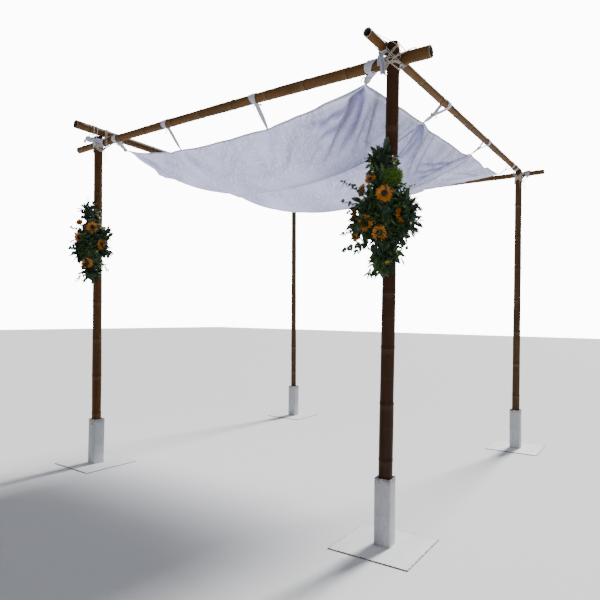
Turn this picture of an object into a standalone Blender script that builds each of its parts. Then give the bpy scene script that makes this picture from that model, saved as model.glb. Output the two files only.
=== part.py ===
"""Wedding chuppah: four bamboo posts in steel feet, a lashed bamboo top frame and a tied white cloth.

Metres, +Z up. +X runs along the front, +Y runs to the rear. The origin is the centre of the
whole object's footprint on the floor.
"""
import math

import bmesh
import bpy
from mathutils import Matrix, Vector, geometry

# Driving dimensions
SPAN_X = 2.98
SPAN_Y = 3.12
CENTRE = Vector((0.085, 0.030, 0.0))
GAP = 0.0003
CROSSING_GAP = 0.0008
LEAN_FOOT = 0.20
LEAN_HEAD = 3.00

PLATE_SIDE = 0.51
PLATE_THICK = 0.006
SLEEVE_SIDE = 0.104
SLEEVE_WALL = 0.004
SLEEVE_HEIGHT = 0.405

CULM_SIDES = 12
NODE_PITCH = 0.345
NODE_SWELL = 0.0022
NODE_HALF = 0.010
CELL_WALL = 0.0085
CELL_DEPTH = 0.16

TWINE_RADIUS = 0.0045
TWINE_CLEAR = 0.0008
JOINT_CLEAR = 0.17
TWINE_DROP = 0.026
HULL_STEPS = 14
TIE_RADIUS = 0.0028
CLOTH_THICK = 0.004
CLOTH_CELLS = 24
BELLY = 0.335
BELLY_MIDDLE = 0.56
RIDGE_AT = 0.335
RIDGE_SHARE = 0.40
RIDGE_WIDTH = 0.085
REAR_RIDGE_AT = 0.66
REAR_RIDGE_SHARE = 0.12
REAR_RIDGE_WIDTH = 0.08

UP = Vector((0.0, 0.0, 1.0))

# Corner: sides of the frame it stands on, how far its post leans at 3 m, turn of its foot,
# post radius at the foot and head, and height of the post's cut top
CORNERS = {
    "left": dict(side=(-1, -1), lean=(-0.024, -0.036), turn=-0.7, foot=0.0440, head=0.0390, top=3.062),
    "front": dict(side=(1, -1), lean=(0.026, 0.013), turn=7.0, foot=0.0450, head=0.0400, top=3.118),
    "right": dict(side=(1, 1), lean=(0.028, 0.007), turn=1.9, foot=0.0390, head=0.0350, top=3.010),
    "back": dict(side=(-1, 1), lean=(-0.025, -0.018), turn=1.5, foot=0.0360, head=0.0320, top=3.020),
}
PLATE_TURNS = {"left": -0.7, "front": 2.0, "right": 1.9, "back": 1.5}

# Colours from the photograph, with roughness and metallic value
PAINT = ("white_paint", (0.72, 0.73, 0.74, 1.0), 0.55, 0.0)
BAMBOO_DARK = ("dark_bamboo", (0.085, 0.045, 0.025, 1.0), 0.45, 0.0)
BAMBOO_OLIVE = ("olive_bamboo", (0.19, 0.12, 0.055, 1.0), 0.45, 0.0)
TWINE = ("twine", (0.36, 0.28, 0.19, 1.0), 0.9, 0.0)
CLOTH = ("white_cloth", (0.82, 0.82, 0.86, 1.0), 0.85, 0.0)
LEAVES = ("foliage", (0.05, 0.10, 0.04, 1.0), 0.6, 0.0)


def clear_scene():
    for item in list(bpy.data.objects):
        bpy.data.objects.remove(item, do_unlink=True)


def collection(name):
    group = bpy.data.collections.new(name)
    bpy.context.scene.collection.children.link(group)
    return group


def material(finish):
    name, colour, roughness, metallic = finish
    found = bpy.data.materials.get(name)
    if found:
        return found
    made = bpy.data.materials.new(name)
    made.use_nodes = True
    shader = made.node_tree.nodes["Principled BSDF"]
    shader.inputs["Base Color"].default_value = colour
    shader.inputs["Roughness"].default_value = roughness
    shader.inputs["Metallic"].default_value = metallic
    return made


def add_object(name, data, finish=None, group=None):
    item = bpy.data.objects.new(name, data)
    (group or PARTS).objects.link(item)
    if finish:
        data.materials.append(material(finish))
    return item


def as_cutter(item):
    item.hide_render = True
    item.display_type = "WIRE"
    return item


def from_bmesh(name, shape, finish=None, group=None, smooth=False):
    bmesh.ops.recalc_face_normals(shape, faces=shape.faces)
    mesh = bpy.data.meshes.new(name)
    shape.to_mesh(mesh)
    shape.free()
    if smooth:
        mesh.shade_smooth()
        mesh.set_sharp_from_angle(angle=math.radians(40))
    return add_object(name, mesh, finish, group)


def boolean(item, other, operation):
    modifier = item.modifiers.new(other.name, "BOOLEAN")
    modifier.operation = operation
    modifier.solver = "EXACT"
    modifier.object = other


def block(name, size, location, turn=0.0, finish=None, group=None):
    shape = bmesh.new()
    bmesh.ops.create_cube(shape, size=1.0)
    bmesh.ops.scale(shape, vec=size, verts=shape.verts)
    item = from_bmesh(name, shape, finish, group)
    item.location = location
    item.rotation_euler.z = math.radians(turn)
    return item


def tube(name, points, radii, finish=None, group=None, cyclic=False, sides=6, level=False):
    """A round tube through the points, turned into a closed mesh."""
    curve = bpy.data.curves.new(name, "CURVE")
    curve.dimensions = "3D"
    curve.twist_mode = "Z_UP" if level else "MINIMUM"
    curve.bevel_depth = 1.0
    curve.bevel_resolution = sides // 2 - 2
    curve.use_fill_caps = not cyclic
    spline = curve.splines.new("POLY")
    spline.points.add(len(points) - 1)
    for slot, place, radius in zip(spline.points, points, radii):
        slot.co = (*place, 1.0)
        slot.radius = radius
    spline.use_cyclic_u = cyclic
    source = bpy.data.objects.new(name + "_path", curve)
    bpy.context.scene.collection.objects.link(source)
    bpy.context.view_layer.update()
    depsgraph = bpy.context.evaluated_depsgraph_get()
    mesh = bpy.data.meshes.new_from_object(source.evaluated_get(depsgraph))
    mesh.name = name
    mesh.materials.clear()
    bpy.data.objects.remove(source, do_unlink=True)
    shape = bmesh.new()
    shape.from_mesh(mesh)
    bmesh.ops.remove_doubles(shape, verts=shape.verts, dist=0.00005)
    bmesh.ops.recalc_face_normals(shape, faces=shape.faces)
    shape.to_mesh(mesh)
    shape.free()
    mesh.shade_smooth()
    mesh.set_sharp_from_angle(angle=math.radians(40))
    return add_object(name, mesh, finish, group)


def rod(name, start, end, radius, finish=None, group=None, sides=16):
    shape = bmesh.new()
    bmesh.ops.create_cone(shape, cap_ends=True, segments=sides, radius1=radius, radius2=radius,
                          depth=(end - start).length)
    turn = UP.rotation_difference(end - start).to_matrix().to_4x4()
    bmesh.ops.transform(shape, matrix=Matrix.Translation((start + end) / 2) @ turn, verts=shape.verts)
    return from_bmesh(name, shape, finish, group)


class Culm:
    """A tapered culm whose axis passes through two crossings, with a slight bow between them."""

    def __init__(self, first, last, radius_first, radius_last, bow=0.0):
        self.first = first
        self.last = last
        self.radius_first = radius_first
        self.radius_last = radius_last
        self.bow = bow
        self.length = (last - first).length

    def point(self, distance):
        share = distance / self.length
        return self.first.lerp(self.last, share) + UP * 4.0 * self.bow * share * (1.0 - share)

    def radius(self, distance):
        return self.radius_first + (self.radius_last - self.radius_first) * distance / self.length

    def direction(self, distance):
        return (self.point(distance + 0.01) - self.point(distance - 0.01)).normalized()

    def nodes(self, start, end, offset, keep_clear):
        places = []
        place = start + offset
        while place < end - 0.05:
            near = [spot for spot, reach in keep_clear if abs(place - spot) < reach]
            if not near:
                places.append(place)
                place += NODE_PITCH
            else:
                place += 0.02
        return places

    def build(self, name, start, end, nodes, finish, open_ends, level):
        stations = [(start, 0.0), (end, 0.0)]
        for place in nodes:
            stations += [(place - NODE_HALF, 0.0), (place, NODE_SWELL), (place + NODE_HALF, 0.0)]
        stations.sort()
        points = [self.point(place) for place, _ in stations]
        radii = [self.radius(place) + swell for place, swell in stations]
        item = tube(name, points, radii, finish, sides=CULM_SIDES, level=level)
        for label, place, inward in (("start", start, 1.0), ("end", end, -1.0)):
            if label not in open_ends:
                continue
            axis = self.direction(place) * inward
            mouth = self.point(place)
            cell = rod(f"{name}_{label}_cell", mouth - axis * 0.02, mouth + axis * CELL_DEPTH,
                       self.radius(place) - CELL_WALL, group=CUTTERS)
            boolean(item, as_cutter(cell), "DIFFERENCE")
        return item


def corner_base(name):
    side = CORNERS[name]["side"]
    return CENTRE + Vector((side[0] * SPAN_X / 2, side[1] * SPAN_Y / 2, 0.0))


def post_axis(name, height):
    lean = Vector((*CORNERS[name]["lean"], 0.0))
    share = (height - LEAN_FOOT) / (LEAN_HEAD - LEAN_FOOT)
    return corner_base(name) + lean * share + UP * height


def post_radius(name, height):
    corner = CORNERS[name]
    return corner["foot"] + (corner["head"] - corner["foot"]) * height / LEAN_HEAD


# Heights of the lower beams' axes over each post, and culm radii at the crossings
LOWER_AXIS = {"left": 3.030, "front": 3.045, "back": 2.994, "right": 2.985}
LOWER_RADIUS = {"left": 0.0330, "front": 0.0400, "back": 0.0310, "right": 0.0265}
UPPER_RADIUS = {"left": 0.0370, "front": 0.0305, "back": 0.0310, "right": 0.0275}
UPPER_INSET = {"left": 0.030, "front": -0.0709, "back": 0.030, "right": -0.026}
FRONT_BOW = 0.012


def lower_crossing(name):
    """The lower beam lies against the rear side of its post."""
    height = LOWER_AXIS[name]
    spot = post_axis(name, height)
    spot.y += post_radius(name, height) + LOWER_RADIUS[name] + CROSSING_GAP
    return spot


def upper_crossing(name):
    """The upper beam lies across the lower one."""
    spot = lower_crossing(name)
    spot.x = post_axis(name, LOWER_AXIS[name]).x + UPPER_INSET[name]
    spot.z += LOWER_RADIUS[name] + UPPER_RADIUS[name] + CROSSING_GAP
    return spot


def make_culms():
    posts = {}
    for name in CORNERS:
        foot = post_axis(name, 0.0)
        head = post_axis(name, LEAN_HEAD)
        posts[name] = Culm(foot, head, post_radius(name, 0.0), post_radius(name, LEAN_HEAD))
    lower_front = Culm(lower_crossing("left"), lower_crossing("front"), LOWER_RADIUS["left"],
                       LOWER_RADIUS["front"], FRONT_BOW)
    lower_rear = Culm(lower_crossing("back"), lower_crossing("right"), LOWER_RADIUS["back"],
                      LOWER_RADIUS["right"])
    upper_left = Culm(upper_crossing("left"), upper_crossing("back"), UPPER_RADIUS["left"],
                      UPPER_RADIUS["back"])
    upper_right = Culm(upper_crossing("front"), upper_crossing("right"), UPPER_RADIUS["front"],
                       UPPER_RADIUS["right"])
    return posts, dict(lower_front=lower_front, lower_rear=lower_rear, upper_left=upper_left,
                       upper_right=upper_right)


# How far each beam runs past its first and last crossing
OVERHANGS = {
    "lower_front": (0.415, 0.215),
    "lower_rear": (0.245, 0.245),
    "upper_left": (0.330, 0.215),
    "upper_right": (0.285, 0.075),
}
NODE_OFFSETS = {"lower_front": 0.24, "lower_rear": 0.31, "upper_left": 0.13, "upper_right": 0.16}

# Ties along each beam, as shares of the way between its crossings
BEAM_TIES = {
    "lower_front": (0.055, 0.282, 0.606, 0.942),
    "lower_rear": (0.335, 0.665),
    "upper_left": (0.335, 0.665, 0.925),
    "upper_right": (0.321, 0.652, 0.925),
}


def build_feet():
    for name in CORNERS:
        base = corner_base(name)
        block(f"base_plate_{name}", (PLATE_SIDE, PLATE_SIDE, PLATE_THICK),
              base + UP * PLATE_THICK / 2, PLATE_TURNS[name], PAINT)
        floor = PLATE_THICK + GAP
        middle = base + UP * (floor + SLEEVE_HEIGHT / 2)
        turn = CORNERS[name]["turn"]
        sleeve = block(f"base_sleeve_{name}", (SLEEVE_SIDE, SLEEVE_SIDE, SLEEVE_HEIGHT), middle, turn, PAINT)
        inner = SLEEVE_SIDE - 2 * SLEEVE_WALL
        bore = block(f"sleeve_bore_{name}", (inner, inner, SLEEVE_HEIGHT + 0.02), middle, turn,
                     group=CUTTERS)
        boolean(sleeve, as_cutter(bore), "DIFFERENCE")


def build_posts(posts):
    for index, (name, post) in enumerate(posts.items()):
        tilt = Vector(CORNERS[name]["lean"]).length / (LEAN_HEAD - LEAN_FOOT)
        start = PLATE_THICK + GAP + CORNERS[name]["foot"] * tilt
        top = CORNERS[name]["top"]
        crossing = LOWER_AXIS[name]
        nodes = post.nodes(start, top, 0.46 + 0.05 * index, [(crossing, JOINT_CLEAR + 0.02)])
        finish = BAMBOO_OLIVE if name in ("right", "back") else BAMBOO_DARK
        post.build(f"post_{name}", start, top, nodes, finish, (), level=False)


def build_beams(beams):
    for name, beam in beams.items():
        before, after = OVERHANGS[name]
        clear = [(0.0, JOINT_CLEAR), (beam.length, JOINT_CLEAR)]
        clear += [(share * beam.length, 0.035) for share in BEAM_TIES[name]]
        nodes = beam.nodes(-before, beam.length + after, NODE_OFFSETS[name], clear)
        beam.build(f"beam_{name}", -before, beam.length + after, nodes, BAMBOO_OLIVE,
                   ("start", "end"), level=True)


def hull_loop(through, normal, culms, clearance):
    """A taut cord round some culms in one plane: the hull of their sections."""
    normal = normal.normalized()
    side = normal.orthogonal().normalized()
    across = normal.cross(side)
    flat = []
    for axis_point, axis, radius in culms:
        reach = (radius + clearance) / math.cos(math.pi / HULL_STEPS)
        slope = axis.dot(normal)
        centre = axis_point + axis * ((through - axis_point).dot(normal) / slope)
        long_way = (axis - normal * slope).normalized()
        short_way = normal.cross(long_way)
        for step in range(HULL_STEPS):
            angle = 2 * math.pi * step / HULL_STEPS
            spot = centre + long_way * math.cos(angle) * reach / abs(slope)
            spot += short_way * math.sin(angle) * reach
            offset = spot - through
            flat.append(Vector((offset.dot(side), offset.dot(across))))
    order = geometry.convex_hull_2d(flat)
    return [through + side * flat[i].x + across * flat[i].y for i in order]


def ring(middle, axis, radius, count=16):
    side = axis.orthogonal().normalized()
    across = axis.cross(side)
    reach = radius / math.cos(math.pi / count)
    turns = [2 * math.pi * step / count for step in range(count)]
    return [middle + (side * math.cos(a) + across * math.sin(a)) * reach for a in turns]


def build_lashing(name, post, lower, lower_at, upper, upper_at):
    """Twine crossed over post and beams, and turned round the post under the lower beam."""
    low = LOWER_AXIS[name] - LOWER_RADIUS[name] - TWINE_DROP
    post_part = (post.point(low), post.direction(low), post.radius(low))
    lower_part = (lower.point(lower_at), lower.direction(lower_at), lower.radius(lower_at))
    upper_part = (upper.point(upper_at), upper.direction(upper_at), upper.radius(upper_at))
    clearance = TWINE_RADIUS + TWINE_CLEAR
    loops = []
    for lean in (1.0, -1.0):
        through = post.point(low + 0.002 * lean)
        loops.append(hull_loop(through, Vector((lean, 0.0, 1.0)), (post_part, lower_part), clearance))
    away = math.copysign(1.0, UPPER_INSET[name])
    loops.append(hull_loop(upper_part[0], Vector((away, 1.0, 0.0)), (lower_part, upper_part), clearance))
    for step in range(3):
        drop = low + (1 - step) * 0.0075
        loops.append(ring(post.point(drop), post.direction(drop), post.radius(drop) + clearance, 12 + step))
    first = tube(f"lashing_{name}", loops[0], [TWINE_RADIUS] * len(loops[0]), TWINE, cyclic=True)
    for index, loop in enumerate(loops[1:]):
        turn = tube(f"lashing_{name}_turn_{index}", loop, [TWINE_RADIUS] * len(loop), group=CUTTERS,
                    cyclic=True)
        boolean(first, as_cutter(turn), "UNION")


def tie_path(beam, at, anchor):
    """One and a bit turns round the beam, then straight to the cloth."""
    centre = beam.point(at)
    along = beam.direction(at)
    inward = anchor - centre
    inward -= along * inward.dot(along)
    drop = -UP
    inward -= drop * inward.dot(drop)
    inward.normalize()
    reach = beam.radius(at) + TIE_RADIUS + 0.0006
    target = Vector(((anchor - centre).dot(inward), (anchor - centre).dot(UP)))
    leave = math.atan2(target.y, target.x) + math.acos(reach / target.length)
    slant = (anchor - centre).dot(along)
    sign = -1.0 if slant > 0 else 1.0
    steps = 14
    sweep = math.radians(28.0)
    points = []
    for step in range(steps, -1, -1):
        angle = leave + step * sweep
        stretch = reach / math.cos(sweep / 2) if step else reach
        spot = centre + (inward * math.cos(angle) + UP * math.sin(angle)) * stretch
        points.append(spot + along * sign * 0.0085 * step * sweep / (2 * math.pi))
    away = (points[-1] - anchor).normalized()
    points.append(anchor + away * TIE_END)
    return points


TIE_END = 0.0018


def build_tie(name, beam, at, anchor):
    points = tie_path(beam, at, anchor)
    tube(f"tie_{name}", points, [TIE_RADIUS] * len(points), CLOTH)


# Cloth held at its corners and at two points on each side
ANCHORS = {
    "front_left": Vector((-1.370, -1.395, 2.960)),
    "front_1": Vector((-0.660, -1.335, 2.863)),
    "front_2": Vector((0.323, -1.324, 2.868)),
    "front_right": Vector((1.235, -1.390, 2.985)),
    "right_1": Vector((1.268, -0.472, 2.985)),
    "right_2": Vector((1.324, 0.551, 2.972)),
    "rear_right": Vector((1.360, 1.370, 2.955)),
    "rear_1": Vector((0.480, 1.430, 2.905)),
    "rear_2": Vector((-0.540, 1.430, 2.900)),
    "rear_left": Vector((-1.360, 1.360, 2.955)),
    "left_1": Vector((-1.320, 0.520, 2.970)),
    "left_2": Vector((-1.330, -0.520, 2.985)),
}
SCALLOP_IN = 0.050
END_SCALLOP_IN = 0.030
SCALLOP_DOWN = 0.012
LEFT_SCALLOP_DOWN = 0.160


def edge_point(names, share, inward, down):
    """A point along one side of the cloth, sagging a little between its ties."""
    steps = len(names) - 1
    index = min(int(share * steps), steps - 1)
    local = share * steps - index
    start, end = (ANCHORS[names[index]], ANCHORS[names[index + 1]])
    dip = math.sin(math.pi * local) ** 2
    return start.lerp(end, local) + inward * dip - UP * down * dip


def hang(u, v):
    """How far the cloth hangs under its edges, as a share: a front lobe, a slack ridge, a rear lobe."""
    if u < BELLY_MIDDLE:
        across = 1 - ((BELLY_MIDDLE - u) / BELLY_MIDDLE) ** 1.9
    else:
        power = 2.8 - 0.8 * min(1.0, max(0.0, (v - 0.5) * 5))
        across = 1 - ((u - BELLY_MIDDLE) / (1 - BELLY_MIDDLE)) ** power
    reach = abs(2 * v - 1)
    along = 1 - reach ** 4 if v < 0.5 else math.cos(math.pi / 2 * reach) ** 2
    ridge = RIDGE_SHARE * math.exp(-((v - RIDGE_AT) / RIDGE_WIDTH) ** 2)
    rear_ridge = REAR_RIDGE_SHARE * math.exp(-((v - REAR_RIDGE_AT) / REAR_RIDGE_WIDTH) ** 2)
    return across * along * (1 - ridge - rear_ridge)


def cloth_point(u, v):
    """Blend of the four sides, hanging in two lobes."""
    front = edge_point(("front_left", "front_1", "front_2", "front_right"), u,
                       Vector((0, END_SCALLOP_IN, 0)), SCALLOP_DOWN)
    rear = edge_point(("rear_left", "rear_2", "rear_1", "rear_right"), u,
                      Vector((0, -END_SCALLOP_IN, 0)), SCALLOP_DOWN)
    left = edge_point(("front_left", "left_2", "left_1", "rear_left"), v,
                      Vector((SCALLOP_IN, 0, 0)), LEFT_SCALLOP_DOWN)
    right = edge_point(("front_right", "right_1", "right_2", "rear_right"), v,
                       Vector((-SCALLOP_IN, 0, 0)), SCALLOP_DOWN)
    flat = ANCHORS["front_left"] * (1 - u) * (1 - v) + ANCHORS["front_right"] * u * (1 - v)
    flat += ANCHORS["rear_left"] * (1 - u) * v + ANCHORS["rear_right"] * u * v
    spot = front * (1 - v) + rear * v + left * (1 - u) + right * u - flat
    return spot + CENTRE - UP * BELLY * hang(u, v)


def build_canopy():
    shape = bmesh.new()
    bmesh.ops.create_grid(shape, x_segments=CLOTH_CELLS, y_segments=CLOTH_CELLS, size=0.5)
    for vertex in shape.verts:
        vertex.co = cloth_point(vertex.co.x + 0.5, vertex.co.y + 0.5)
    mesh = bpy.data.meshes.new("canopy")
    shape.to_mesh(mesh)
    shape.free()
    mesh.shade_smooth()
    item = add_object("canopy", mesh, CLOTH)
    thick = item.modifiers.new("thickness", "SOLIDIFY")
    thick.thickness = CLOTH_THICK
    thick.offset = 0.0
    thick.use_even_offset = True
    return item


def blob(name, centre, size, tilt=(0.0, 0.0, 0.0), group=None, finish=None):
    shape = bmesh.new()
    bmesh.ops.create_uvsphere(shape, u_segments=12, v_segments=8, radius=1.0)
    item = from_bmesh(name, shape, finish, group, smooth=True)
    for vertex in item.data.vertices:
        vertex.co = Vector((vertex.co.x * size[0], vertex.co.y * size[1], vertex.co.z * size[2]))
    item.location = centre
    item.rotation_euler = tilt
    return item


# Spray: its post, the horizontal way it faces, and its masses as (sideways, height, outward,
# half width, half height, half depth)
SPRAYS = {
    "front": ((0.446, -0.895), (
        (-0.045, 2.04, 0.085, 0.115, 0.330, 0.075),
        (-0.120, 2.00, 0.075, 0.110, 0.170, 0.065),
        (0.075, 2.02, 0.075, 0.090, 0.190, 0.060),
        (-0.060, 2.33, 0.070, 0.080, 0.150, 0.050),
        (-0.030, 1.76, 0.070, 0.075, 0.130, 0.050),
        (-0.190, 1.94, 0.070, 0.080, 0.055, 0.035),
    )),
    "left": ((0.827, -0.561), (
        (-0.060, 2.05, 0.085, 0.110, 0.310, 0.070),
        (-0.120, 2.00, 0.075, 0.095, 0.170, 0.060),
        (0.040, 2.06, 0.070, 0.075, 0.180, 0.055),
        (-0.080, 2.32, 0.065, 0.065, 0.120, 0.045),
        (-0.060, 1.78, 0.065, 0.070, 0.100, 0.045),
    )),
}


def build_spray(name, post):
    facing, masses = SPRAYS[name]
    outward = Vector((facing[0], facing[1], 0.0)).normalized()
    sideways = UP.cross(outward)
    turn = math.atan2(sideways.y, sideways.x)
    pieces = []
    for index, (side, height, out, wide, tall, deep) in enumerate(masses):
        centre = post_axis(name, height) + sideways * side + outward * out
        label = f"flower_spray_{name}" if index == 0 else f"flower_spray_{name}_mass_{index}"
        pieces.append(blob(label, centre, (wide, deep, tall), (0.0, 0.0, turn),
                           group=None if index == 0 else CUTTERS, finish=LEAVES if index == 0 else None))
    body = pieces[0]
    for other in pieces[1:]:
        boolean(body, as_cutter(other), "UNION")
    heights = (1.3, 2.8)
    stem = tube(f"flower_spray_{name}_post", [post.point(height) for height in heights],
                [post.radius(height) + NODE_SWELL + GAP for height in heights], group=CUTTERS, sides=24)
    boolean(body, as_cutter(stem), "DIFFERENCE")


def build():
    posts, beams = make_culms()
    build_feet()
    build_posts(posts)
    build_beams(beams)
    ends = {
        "left": (beams["lower_front"], 0.0, beams["upper_left"], 0.0),
        "front": (beams["lower_front"], beams["lower_front"].length, beams["upper_right"], 0.0),
        "right": (beams["lower_rear"], beams["lower_rear"].length, beams["upper_right"],
                  beams["upper_right"].length),
        "back": (beams["lower_rear"], 0.0, beams["upper_left"], beams["upper_left"].length),
    }
    for name, (lower, lower_at, upper, upper_at) in ends.items():
        build_lashing(name, posts[name], lower, lower_at, upper, upper_at)
    build_canopy()
    ties = {
        "lower_front": ("front_left", "front_1", "front_2", "front_right"),
        "lower_rear": ("rear_2", "rear_1"),
        "upper_left": ("left_2", "left_1", "rear_left"),
        "upper_right": ("right_1", "right_2", "rear_right"),
    }
    for beam_name, names in ties.items():
        beam = beams[beam_name]
        for share, name in zip(BEAM_TIES[beam_name], names):
            build_tie(name, beam, share * beam.length, ANCHORS[name] + CENTRE)
    for name in SPRAYS:
        build_spray(name, posts[name])


clear_scene()
PARTS = collection("chuppah_canopy")
CUTTERS = collection("cutters")
build()
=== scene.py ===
"""Looks of a wedding chuppah: bamboo, twine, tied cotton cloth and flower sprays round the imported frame.

Metres, +Z up, +X along the front from the left post to the front post, +Y to the rear.
"""
import math
import random

import bmesh
import bpy
import numpy as np
from bpy.props import FloatProperty, FloatVectorProperty, IntProperty, PointerProperty
from mathutils import Matrix, Vector, geometry


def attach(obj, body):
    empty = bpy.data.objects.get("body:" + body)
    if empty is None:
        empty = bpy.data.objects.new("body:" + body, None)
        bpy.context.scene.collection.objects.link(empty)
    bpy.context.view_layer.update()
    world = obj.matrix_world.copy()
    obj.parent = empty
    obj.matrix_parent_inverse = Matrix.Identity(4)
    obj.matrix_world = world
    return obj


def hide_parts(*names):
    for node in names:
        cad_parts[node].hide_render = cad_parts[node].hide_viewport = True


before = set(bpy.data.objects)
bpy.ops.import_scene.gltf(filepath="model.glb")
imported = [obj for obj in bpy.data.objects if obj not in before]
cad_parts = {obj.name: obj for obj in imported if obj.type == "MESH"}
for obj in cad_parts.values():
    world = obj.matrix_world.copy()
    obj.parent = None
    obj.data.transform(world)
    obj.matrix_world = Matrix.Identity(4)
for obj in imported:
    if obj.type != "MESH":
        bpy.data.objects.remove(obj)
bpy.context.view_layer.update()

bl_info = {
    "name": "Wedding chuppah looks",
    "version": (1, 0, 0),
    "blender": (4, 5, 0),
    "location": "3D View > Sidebar > Chuppah",
    "description": "Draws the bamboo, twine, cloth and flowers of a wedding chuppah round its packed frame",
    "category": "Add Mesh",
}

UP = Vector((0.0, 0.0, 1.0))
BODY = "root"
CENTRE = Vector((0.085, 0.030, 0.0))

# The frame's own sizes, as its CAD source has them
SPAN_X = 2.98
SPAN_Y = 3.12
CROSSING_GAP = 0.0008
LEAN_FOOT = 0.20
LEAN_HEAD = 3.00
PLATE_SIDE = 0.51
PLATE_THICK = 0.006
SLEEVE_SIDE = 0.104
SLEEVE_WALL = 0.004
SLEEVE_FOOT = 0.0063
SLEEVE_HEIGHT = 0.405
NODE_PITCH = 0.345
JOINT_CLEAR = 0.17
FRONT_BOW = 0.012
CORNERS = {
    "left": dict(side=(-1, -1), lean=(-0.024, -0.036), turn=-0.7, foot=0.0440, head=0.0390, top=3.062),
    "front": dict(side=(1, -1), lean=(0.026, 0.013), turn=7.0, foot=0.0450, head=0.0400, top=3.118),
    "right": dict(side=(1, 1), lean=(0.028, 0.007), turn=1.9, foot=0.0390, head=0.0350, top=3.010),
    "back": dict(side=(-1, 1), lean=(-0.025, -0.018), turn=1.5, foot=0.0360, head=0.0320, top=3.020),
}
PLATE_TURNS = {"left": -0.7, "front": 2.0, "right": 1.9, "back": 1.5}
LOWER_AXIS = {"left": 3.030, "front": 3.045, "back": 2.994, "right": 2.985}
LOWER_RADIUS = {"left": 0.0330, "front": 0.0400, "back": 0.0310, "right": 0.0265}
UPPER_RADIUS = {"left": 0.0370, "front": 0.0305, "back": 0.0310, "right": 0.0275}
UPPER_INSET = {"left": 0.030, "front": -0.0709, "back": 0.030, "right": -0.026}
OVERHANGS = {
    "lower_front": (0.415, 0.215),
    "lower_rear": (0.245, 0.245),
    "upper_left": (0.330, 0.215),
    "upper_right": (0.285, 0.075),
}
NODE_OFFSETS = {"lower_front": 0.24, "lower_rear": 0.31, "upper_left": 0.13, "upper_right": 0.16}
BEAM_TIES = {
    "lower_front": (("front_left", 0.055), ("front_1", 0.282), ("front_2", 0.606), ("front_right", 0.942)),
    "lower_rear": (("rear_2", 0.335), ("rear_1", 0.665)),
    "upper_left": (("left_2", 0.335), ("left_1", 0.665), ("rear_left", 0.925)),
    "upper_right": (("right_1", 0.321), ("right_2", 0.652), ("rear_right", 0.925)),
}
ANCHORS = {
    "front_left": Vector((-1.370, -1.395, 2.960)),
    "front_1": Vector((-0.660, -1.335, 2.863)),
    "front_2": Vector((0.323, -1.324, 2.868)),
    "front_right": Vector((1.235, -1.390, 2.985)),
    "right_1": Vector((1.268, -0.472, 2.985)),
    "right_2": Vector((1.324, 0.551, 2.972)),
    "rear_right": Vector((1.360, 1.370, 2.955)),
    "rear_1": Vector((0.480, 1.430, 2.905)),
    "rear_2": Vector((-0.540, 1.430, 2.900)),
    "rear_left": Vector((-1.360, 1.360, 2.955)),
    "left_1": Vector((-1.320, 0.520, 2.970)),
    "left_2": Vector((-1.330, -0.520, 2.985)),
}
CLOTH_SIDES = {
    "front": ("front_left", "front_1", "front_2", "front_right"),
    "rear": ("rear_left", "rear_2", "rear_1", "rear_right"),
    "left": ("front_left", "left_2", "left_1", "rear_left"),
    "right": ("front_right", "right_1", "right_2", "rear_right"),
}

# The photograph's viewpoint
EYE = Vector((3.095, -4.581, 1.3985))
EYE_YAW = -0.6206
EYE_PITCH = 0.0286
EYE_ROLL = 0.0131
EYE_LENS = 32.5


class ChuppahSizes(bpy.types.PropertyGroup):
    """Sizes a user would change."""
    twine: FloatProperty(name="Twine", description="Radius of one strand of twine", default=0.0020,
                         min=0.0008, max=0.004, unit="LENGTH")
    ribbon: FloatProperty(name="Ribbon", description="Width of the cloth ties where they cross a beam",
                          default=0.055, min=0.01, max=0.08, unit="LENGTH")
    cloth: FloatProperty(name="Cloth thickness", description="Thickness of the cotton cloth",
                         default=0.0012, min=0.0005, max=0.004, unit="LENGTH")
    belly: FloatProperty(name="Belly", description="How far the cloth hangs under its edges",
                         default=0.335, min=0.1, max=0.5, unit="LENGTH")
    flower: FloatProperty(name="Sunflower", description="Width of the largest sunflower", default=0.125,
                          min=0.05, max=0.2, unit="LENGTH")
    leaves: IntProperty(name="Leaves", description="Leaves in the front spray", default=880, min=50, max=1200)
    seed: IntProperty(name="Seed", description="Start of the random draws", default=7, min=0, max=999)


class ChuppahColours(bpy.types.PropertyGroup):
    """Main colours."""
    paint: FloatVectorProperty(name="Paint", description="White paint of the feet", subtype="COLOR",
                               default=(0.90, 0.91, 0.90), min=0, max=1)
    bamboo_brown: FloatVectorProperty(name="Brown bamboo", description="Front and left posts", subtype="COLOR",
                                      default=(0.029, 0.0105, 0.0030), min=0, max=1)
    bamboo_olive: FloatVectorProperty(name="Olive bamboo", description="Beams and far posts", subtype="COLOR",
                                      default=(0.092, 0.046, 0.0140), min=0, max=1)
    twine: FloatVectorProperty(name="Twine", description="Hemp twine", subtype="COLOR",
                               default=(0.56, 0.49, 0.40), min=0, max=1)
    cotton: FloatVectorProperty(name="Cotton", description="Canopy cloth and its ties", subtype="COLOR",
                                default=(0.61, 0.62, 0.75), min=0, max=1)
    petal: FloatVectorProperty(name="Petals", description="Sunflower petals", subtype="COLOR",
                               default=(0.40, 0.125, 0.006), min=0, max=1)
    leaf: FloatVectorProperty(name="Leaves", description="Dark leaves", subtype="COLOR",
                              default=(0.010, 0.024, 0.007), min=0, max=1)


class ChuppahStage(bpy.types.PropertyGroup):
    """Light and floor."""
    key: FloatProperty(name="Key light", description="Strength of the soft light behind the chuppah",
                       default=6.7, min=0.0)
    sky: FloatProperty(name="Sky", description="Strength of the even light all round", default=0.29, min=0.0)
    backdrop: FloatProperty(name="Backdrop", description="Brightness of the backdrop in view", default=12.0,
                            min=0.0)
    floor: FloatVectorProperty(name="Floor", description="Pale floor", subtype="COLOR",
                               default=(0.80, 0.80, 0.80), min=0, max=1)


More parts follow.
